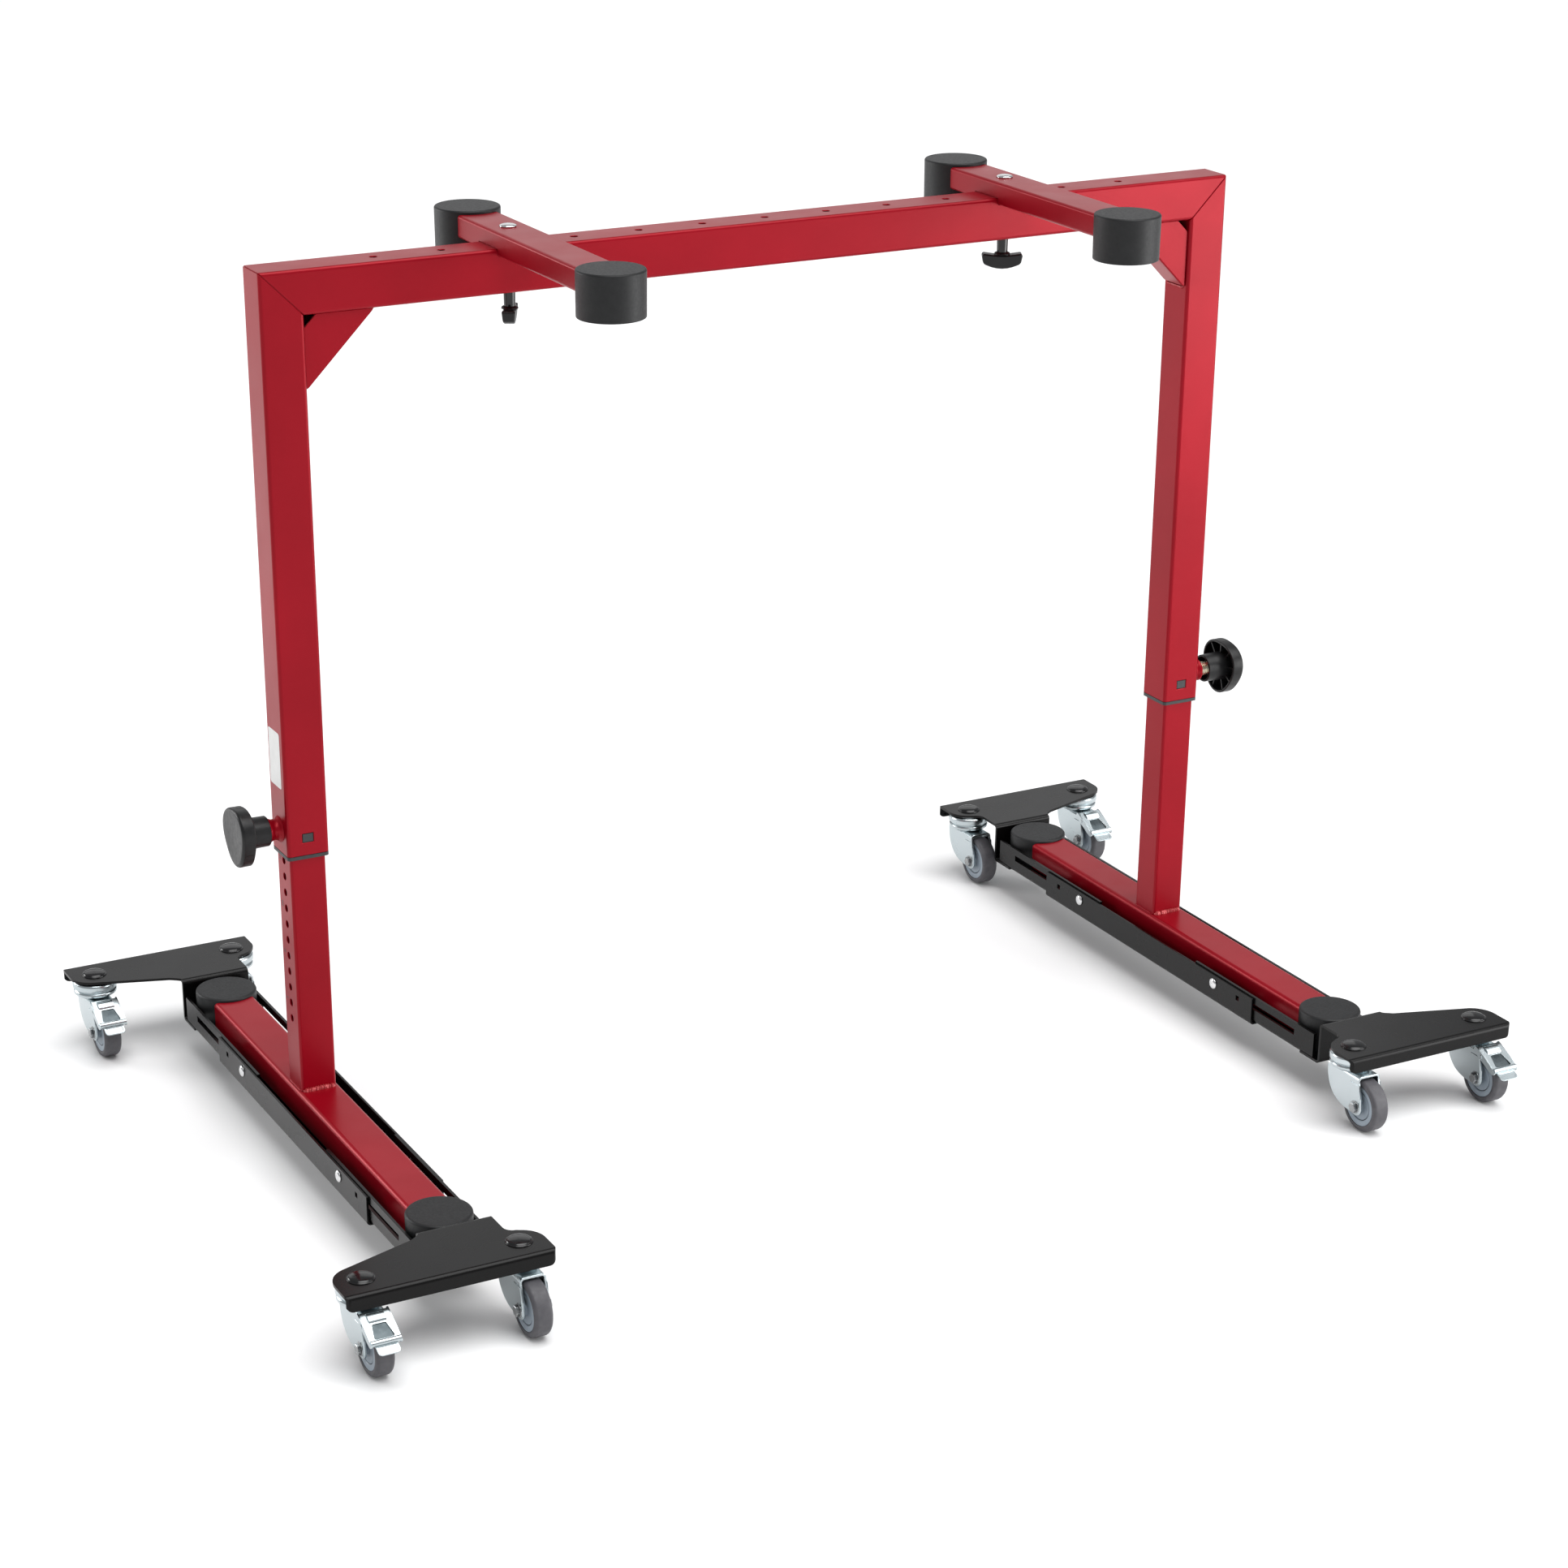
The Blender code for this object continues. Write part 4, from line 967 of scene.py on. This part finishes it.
def add_slide(name, side, end, sign_y):
    slide = Box("%s_slide_%s" % (name, end))
    channel = Box(name + "_trolley_channel")
    half = channel.half.x - CHANNEL_SHEET - 0.3
    edge = max(abs(slide.low.y - channel.mid.y), abs(slide.high.y - channel.mid.y))
    inner_end = min(abs(slide.low.y - channel.mid.y), abs(slide.high.y - channel.mid.y))
    wall_top = channel.high.z + 1.5
    shape = slide_shape(half, slide.low.z, wall_top, slide.high.z, inner_end, edge)
    mirrored(shape, sign_x=-side, sign_y=sign_y)
    body = "%s_slide_%s" % (name, end)
    add_piece("%s_carrier_%s" % (name, end), shape, POWDER, body,
              (channel.mid.x, channel.mid.y, 0), [body], edge=0.4)
    for berth in ("outboard", "inboard"):
        label = "%s_%s_%s" % (name, end, berth)
        at = PIVOT[label + "_swivel"]
        levels = [
            (2.0, -0.2), (DOME_R, 0.0), (DOME_R, 0.5), (DOME_R - 0.3, 0.8), (DOME_R - 1.0, 0.9),
            *dome(DOME_R - 1.1, 2.5, 1.0, range(6, 86, 10)), (0.6, 3.6),
        ]
        add_piece(label + "_dome", stacked(levels, 48), GLOSS_PLASTIC, body,
                  (at.x, at.y, slide.high.z), sharp=60)


# Casters -------------------------------------------------------------------


def fork_side_outline():
    """The side of a fork in (y, z): the swivel axis at 0, the axle at -TRAIL."""
    points = [(20.2, FORK_CROWN + 1), (-TRAIL - 2.0, FORK_CROWN + 1)]
    points += smooth_line([(-TRAIL - 2.4, 50.0), (-TRAIL - 4.6, 42.0), (-TRAIL - 7.4, 34.0)], 4)
    points += arc((-TRAIL, WHEEL_R), LUG_R, 180, 290, 12)
    points += smooth_line(
        [(-14.5, 17.6), (-5.0, 18.6), (4.0, 21.6), (11.0, 26.6), (16.2, 33.6), (19.2, 42.0),
         (20.2, 50.0)], 4
    )
    return points


def swivel_levels(top):
    """The crown's raised middle and the two ball races above it."""
    return [
        (15.0, FORK_CROWN - 1.0), (17.2, FORK_CROWN + 0.8), (19.4, FORK_CROWN + 1.9),
        (20.6, FORK_CROWN + 3.0), (20.8, FORK_CROWN + 4.4), (20.2, FORK_CROWN + 5.8),
        (18.9, FORK_CROWN + 6.6), (18.9, FORK_CROWN + 7.2), (20.4, FORK_CROWN + 7.7),
        (21.3, FORK_CROWN + 8.8), (21.4, FORK_CROWN + 12.4), (20.9, FORK_CROWN + 14.2),
        (19.4, FORK_CROWN + 15.4), (17.6, FORK_CROWN + 15.8), (17.6, top),
    ]


def hex_head(x, side):
    """A chamfered hexagon nut with its washer, on the axle outside the fork."""
    nut = stacked(((4.0, 0.0), (5.2, 0.5), (5.2, 2.9), (4.3, 3.5)), 6, "x")
    washer = stacked(((6.2, -0.5), (6.2, 0.35), (5.9, 0.55)), 28, "x")
    return moved(mirrored(joined([nut, washer]), sign_x=side), (x, 0, 0))


def add_fork(label, plate_low):
    mid = FORK_OUT - FORK_SHEET / 2
    crown = FORK_CROWN - FORK_SHEET / 2
    path = bent_path(((-mid, 5.0), (-mid, crown), (mid, crown), (mid, 5.0)), 3.0)
    sheet = prism(strip(path, FORK_SHEET), -TRAIL - 12, 24, "y")
    fork = combined(sheet, [prism(fork_side_outline(), -20, 20, "x")], "INTERSECT")
    head = stacked(swivel_levels(plate_low), 56)
    swivel = PIVOT[label + "_swivel"]
    place = (swivel.x, swivel.y, 0)
    body = label + "_caster"
    add_piece(label + "_fork_sheet", fork, ZINC, body, place,
              [label + "_fork"], edge=0.45)
    add_piece(label + "_swivel_head", head, ZINC, body, place, sharp=50)
    # A pressed stiffening step on each side plate, along its axle edge.
    steps = []
    for sign in (-1, 1):
        low, high = sorted((sign * (FORK_OUT - 0.4), sign * (FORK_OUT + 0.55)))
        outline = [(-TRAIL - 3.6, 47.5), (-TRAIL - 6.4, 33.0)]
        outline += arc((-TRAIL, WHEEL_R), 7.2, 180, 360, 12)
        outline += [(-TRAIL + 8.2, 36.0), (-TRAIL + 9.6, 47.5)]
        steps.append(prism(outline, low, high, "x"))
    add_piece(label + "_fork_pressing", joined(steps), ZINC, body, place, edge=0.4)
    nuts = joined([hex_head(s * (FORK_OUT + 0.7), s) for s in (-1, 1)]
                  + [stacked(((3.0, -FORK_OUT - 1), (3.0, FORK_OUT + 1)), 24, "x")])
    place = (swivel.x, swivel.y - TRAIL, WHEEL_R)
    add_piece(label + "_axle", nuts, AXLE_STEEL, body, place, sharp=35, edge=0.2)


def add_wheel(label):
    """A tyre with rounded shoulders on a dished hub with a dark groove on each face."""
    at = PIVOT[label + "_roll"]
    body = label + "_roller"
    half = WHEEL_HALF
    shoulder = [(19.4, half - 1.1), (19.9, half - 0.5), (20.8, half - 0.25)]
    shoulder += arc((WHEEL_R - TREAD_ROUND, half - TREAD_ROUND), TREAD_ROUND, 80, 8, 7)
    tread = [(WHEEL_R - 0.03, 3.0), (WHEEL_R, 0.0), (WHEEL_R - 0.03, -3.0)]
    profile = shoulder + tread + [(r, -h) for r, h in shoulder[::-1]]
    tyre = turned(profile, 72, "x")
    add_piece(label + "_tyre", tyre, TYRE, body, at, [label + "_wheel"], sharp=60)
    face = [
        (3.1, 9.3), (4.9, 9.3), (5.3, 8.9), (5.6, 7.0), (8.0, 6.7), (12.8, 6.9), (13.4, 6.5),
        (13.4, 5.6), (14.2, 5.6), (14.2, 6.6), (14.8, 7.2), (18.4, 7.7), (19.2, 7.5), (19.5, 6.6),
    ]
    hub = turned(face + [(r, -h) for r, h in face[::-1]], 56, "x")
    add_piece(label + "_hub", hub, WHEEL_HUB, body, at, sharp=35)
    rings = []
    for sign in (-1, 1):
        ring = turned(((13.3, 5.3), (14.3, 5.3), (14.3, 6.1), (13.3, 6.1)), 56, "x")
        rings.append(mirrored(ring, sign_x=sign))
    add_piece(label + "_hub_groove", joined(rings), RING_LINE, body, at)


def add_pedal(label):
    """A stamped brake pedal, drawn flat from its pivot towards -Y and then tipped down."""
    wide = FORK_OUT + 1.6
    parts = []
    cheek = smooth_line([(5.6, -1.0), (4.0, -3.2), (-4.0, -3.8), (-14.0, -3.4), (-22.0, -3.6)], 3)
    cheek += smooth_line([(-27.0, -2.8), (-28.8, -1.0), (-28.8, 1.4)], 3)
    cheek += smooth_line([(-26.0, 2.2), (-16.0, 2.8), (-6.0, 2.8), (4.0, 2.4), (5.6, 1.0)], 3)
    for sign in (-1, 1):
        low, high = sorted((sign * wide, sign * (wide - 1.3)))
        parts.append(prism(cheek, low, high, "x"))
        rivet = stacked(((1.9, -0.4), (1.9, 0.3), (1.3, 0.6)), 20, "x")
        parts.append(moved(mirrored(rivet, sign_x=sign), (sign * wide, -6.0, -0.6)))
    inner = wide - 0.9
    face = [(-inner, -26.6), (inner, -26.6), (inner - 0.4, 3.4), (-inner + 0.4, 3.4)]
    window = arc((-7.0, -22.2), 1.6, 180, 270, 4) + arc((7.0, -22.2), 1.6, 270, 360, 4)
    window += arc((4.8, -10.6), 1.4, 0, 90, 4) + arc((-4.8, -10.6), 1.4, 90, 180, 4)
    parts.append(combined(prism(face, 1.6, 2.9), [prism(window, 0.0, 5.0)], "DIFFERENCE"))
    hump = smooth_line([(2.8, 2.4), (1.0, 3.9), (-2.6, 4.7), (-6.2, 4.0), (-8.2, 2.4)], 4)
    parts.append(prism(hump, -7.6, 7.6, "x"))
    leaf = smooth_line([(-9.5, 1.95), (-13.0, 1.9), (-17.0, 1.8), (-21.0, 1.4), (-24.5, 0.9)], 3)
    leaf = prism(strip([Vector(p) for p in leaf], 0.5), -8.8, 8.8, "x")
    bar = smooth_line([(-24.4, 0.2), (-24.0, 2.6), (-25.6, 3.9), (-27.8, 3.3), (-28.9, 1.2),
                       (-28.2, -0.6)], 3)
    parts.append(prism(bar, -wide + 0.5, wide - 0.5, "x"))
    tip = PEDAL_LENGTH
    foot = [(-9.6, -27.0), (-9.6, -tip + 3.6)]
    foot += arc((-6.2, -tip + 3.6), 3.4, 180, 270, 5) + arc((6.2, -tip + 3.6), 3.4, 270, 360, 5)
    foot += [(9.6, -27.0)]
    tab = prism(foot, -1.1, 0.2)
    dish = [(x * 0.80, -tip + 1.6 + (y + tip) * 0.62) for x, y in foot]
    parts.append(combined(tab, [prism(dish, -0.35, 1.0)], "DIFFERENCE"))
    at = PIVOT[label + "_brake_press"]
    body = label + "_pedal"
    shape = turned_about(joined(parts), PEDAL_SLOPE, "X")
    add_piece(body + "_stamping", shape, ZINC, body, at, [label + "_brake"],
              edge=0.6)
    leaf = turned_about(leaf, PEDAL_SLOPE, "X")
    add_piece(body + "_spring_leaf", leaf, SPRING, body, at)


# Stage ---------------------------------------------------------------------


def add_camera():
    data = bpy.data.cameras.new("camera")
    data.sensor_width = 36.0
    data.lens = CAMERA_LENS
    data.shift_x, data.shift_y = CAMERA_SHIFT
    data.clip_end = 200.0
    camera = bpy.data.objects.new("camera", data)
    x, y, z = CAMERA_PLACE
    camera.location = (x, y + LEG_Y * MM, z)
    camera.rotation_euler = (math.radians(90.0 - CAMERA_DOWN), CAMERA_ROLL, CAMERA_HEADING)
    bpy.context.scene.collection.objects.link(camera)
    bpy.context.scene.camera = camera


def add_light(name, kind, place, target, energy, size=(1.0, 1.0), spread=0.0):
    """A soft light aimed at a point: an area light of a size, or a sun of a spread in degrees."""
    data = bpy.data.lights.new(name, kind)
    data.energy = energy
    if kind == "AREA":
        data.shape = "RECTANGLE"
        data.size, data.size_y = size
    else:
        data.angle = math.radians(spread)
    light = bpy.data.objects.new(name, data)
    light.location = place
    aim = Vector(target) - Vector(place)
    light.rotation_euler = aim.to_track_quat("-Z", "Y").to_euler()
    light.visible_camera = False
    bpy.context.scene.collection.objects.link(light)


def add_stage():
    floor = bpy.data.meshes.new("floor")
    half = FLOOR_SIZE / 2
    floor.from_pydata(
        [(-half, -half, 0), (half, -half, 0), (half, half, 0), (-half, half, 0)], [], [(0, 1, 2, 3)]
    )
    floor.materials.append(finish("pale_floor", (0.87, 0.87, 0.87), (0.88, 0.88, 0.88), 0.7, 0.03,
                                  grain=0.5, bump_scale=40.0, bump=0.02, specular=0.1))
    ground = bpy.data.objects.new("floor", floor)
    bpy.context.scene.collection.objects.link(ground)
    world = bpy.data.worlds.new("studio")
    world.use_nodes = True
    back = world.node_tree.nodes["Background"]
    back.inputs["Color"].default_value = (0.97, 0.98, 1.0, 1.0)
    back.inputs["Strength"].default_value = WORLD_STRENGTH
    bpy.context.scene.world = world
    add_light("overhead", "SUN", (0.6, -1.1, 4.0), (0.0, 0.0, 0.0), 2.75, spread=55.0)
    add_light("right_front_box", "AREA", (2.0, -1.6, 0.75), (0.2, 0.0, 0.6), 36.0, (1.5, 1.4))
    add_light("left_box", "AREA", (-2.2, 2.3, 1.1), (-0.5, 0.0, 0.7), 34.0, (1.4, 1.2))
    add_light("back_box", "AREA", (1.4, 4.4, 2.5), (0.0, 0.0, 0.4), 25.0, (5.0, 2.6))
    bpy.context.scene.view_settings.view_transform = "Standard"


def add_bridge():
    add_crossbeam()
    for name, side in SIDES:
        add_outer_leg(name, side)
        add_gusset(name, side)
        add_guide_bush(name, side)
        add_arm(name)
        for end, _ in ENDS:
            add_cap("%s_arm_cap_%s" % (name, end), "%s_cap_%s" % (name, end), "bridge")
        add_arm_bolt(name)
        add_wing_knob(name)
        add_boss(name, side)
        add_pin(name, side)
        add_height_knob(name, side)
    add_label()


def add_undercarriage():
    for name, side in SIDES:
        add_inner_leg(name, side)
        add_foot_tube(name)
        add_channel(name)
        for end, sign_y in ENDS:
            add_cap("%s_foot_disc_%s" % (name, end), "%s_disc_%s" % (name, end), name + "_leg",
                    top_round=2.6, draft=0.6)
            add_slide(name, side, end, sign_y)
            plate_low = Box("%s_slide_%s" % (name, end)).high.z - SLIDE_SHEET
            for berth in ("outboard", "inboard"):
                label = "%s_%s_%s" % (name, end, berth)
                add_fork(label, plate_low)
                add_wheel(label)
            add_pedal("%s_%s_outboard" % (name, end))


add_camera()
add_stage()
add_bridge()
add_undercarriage()
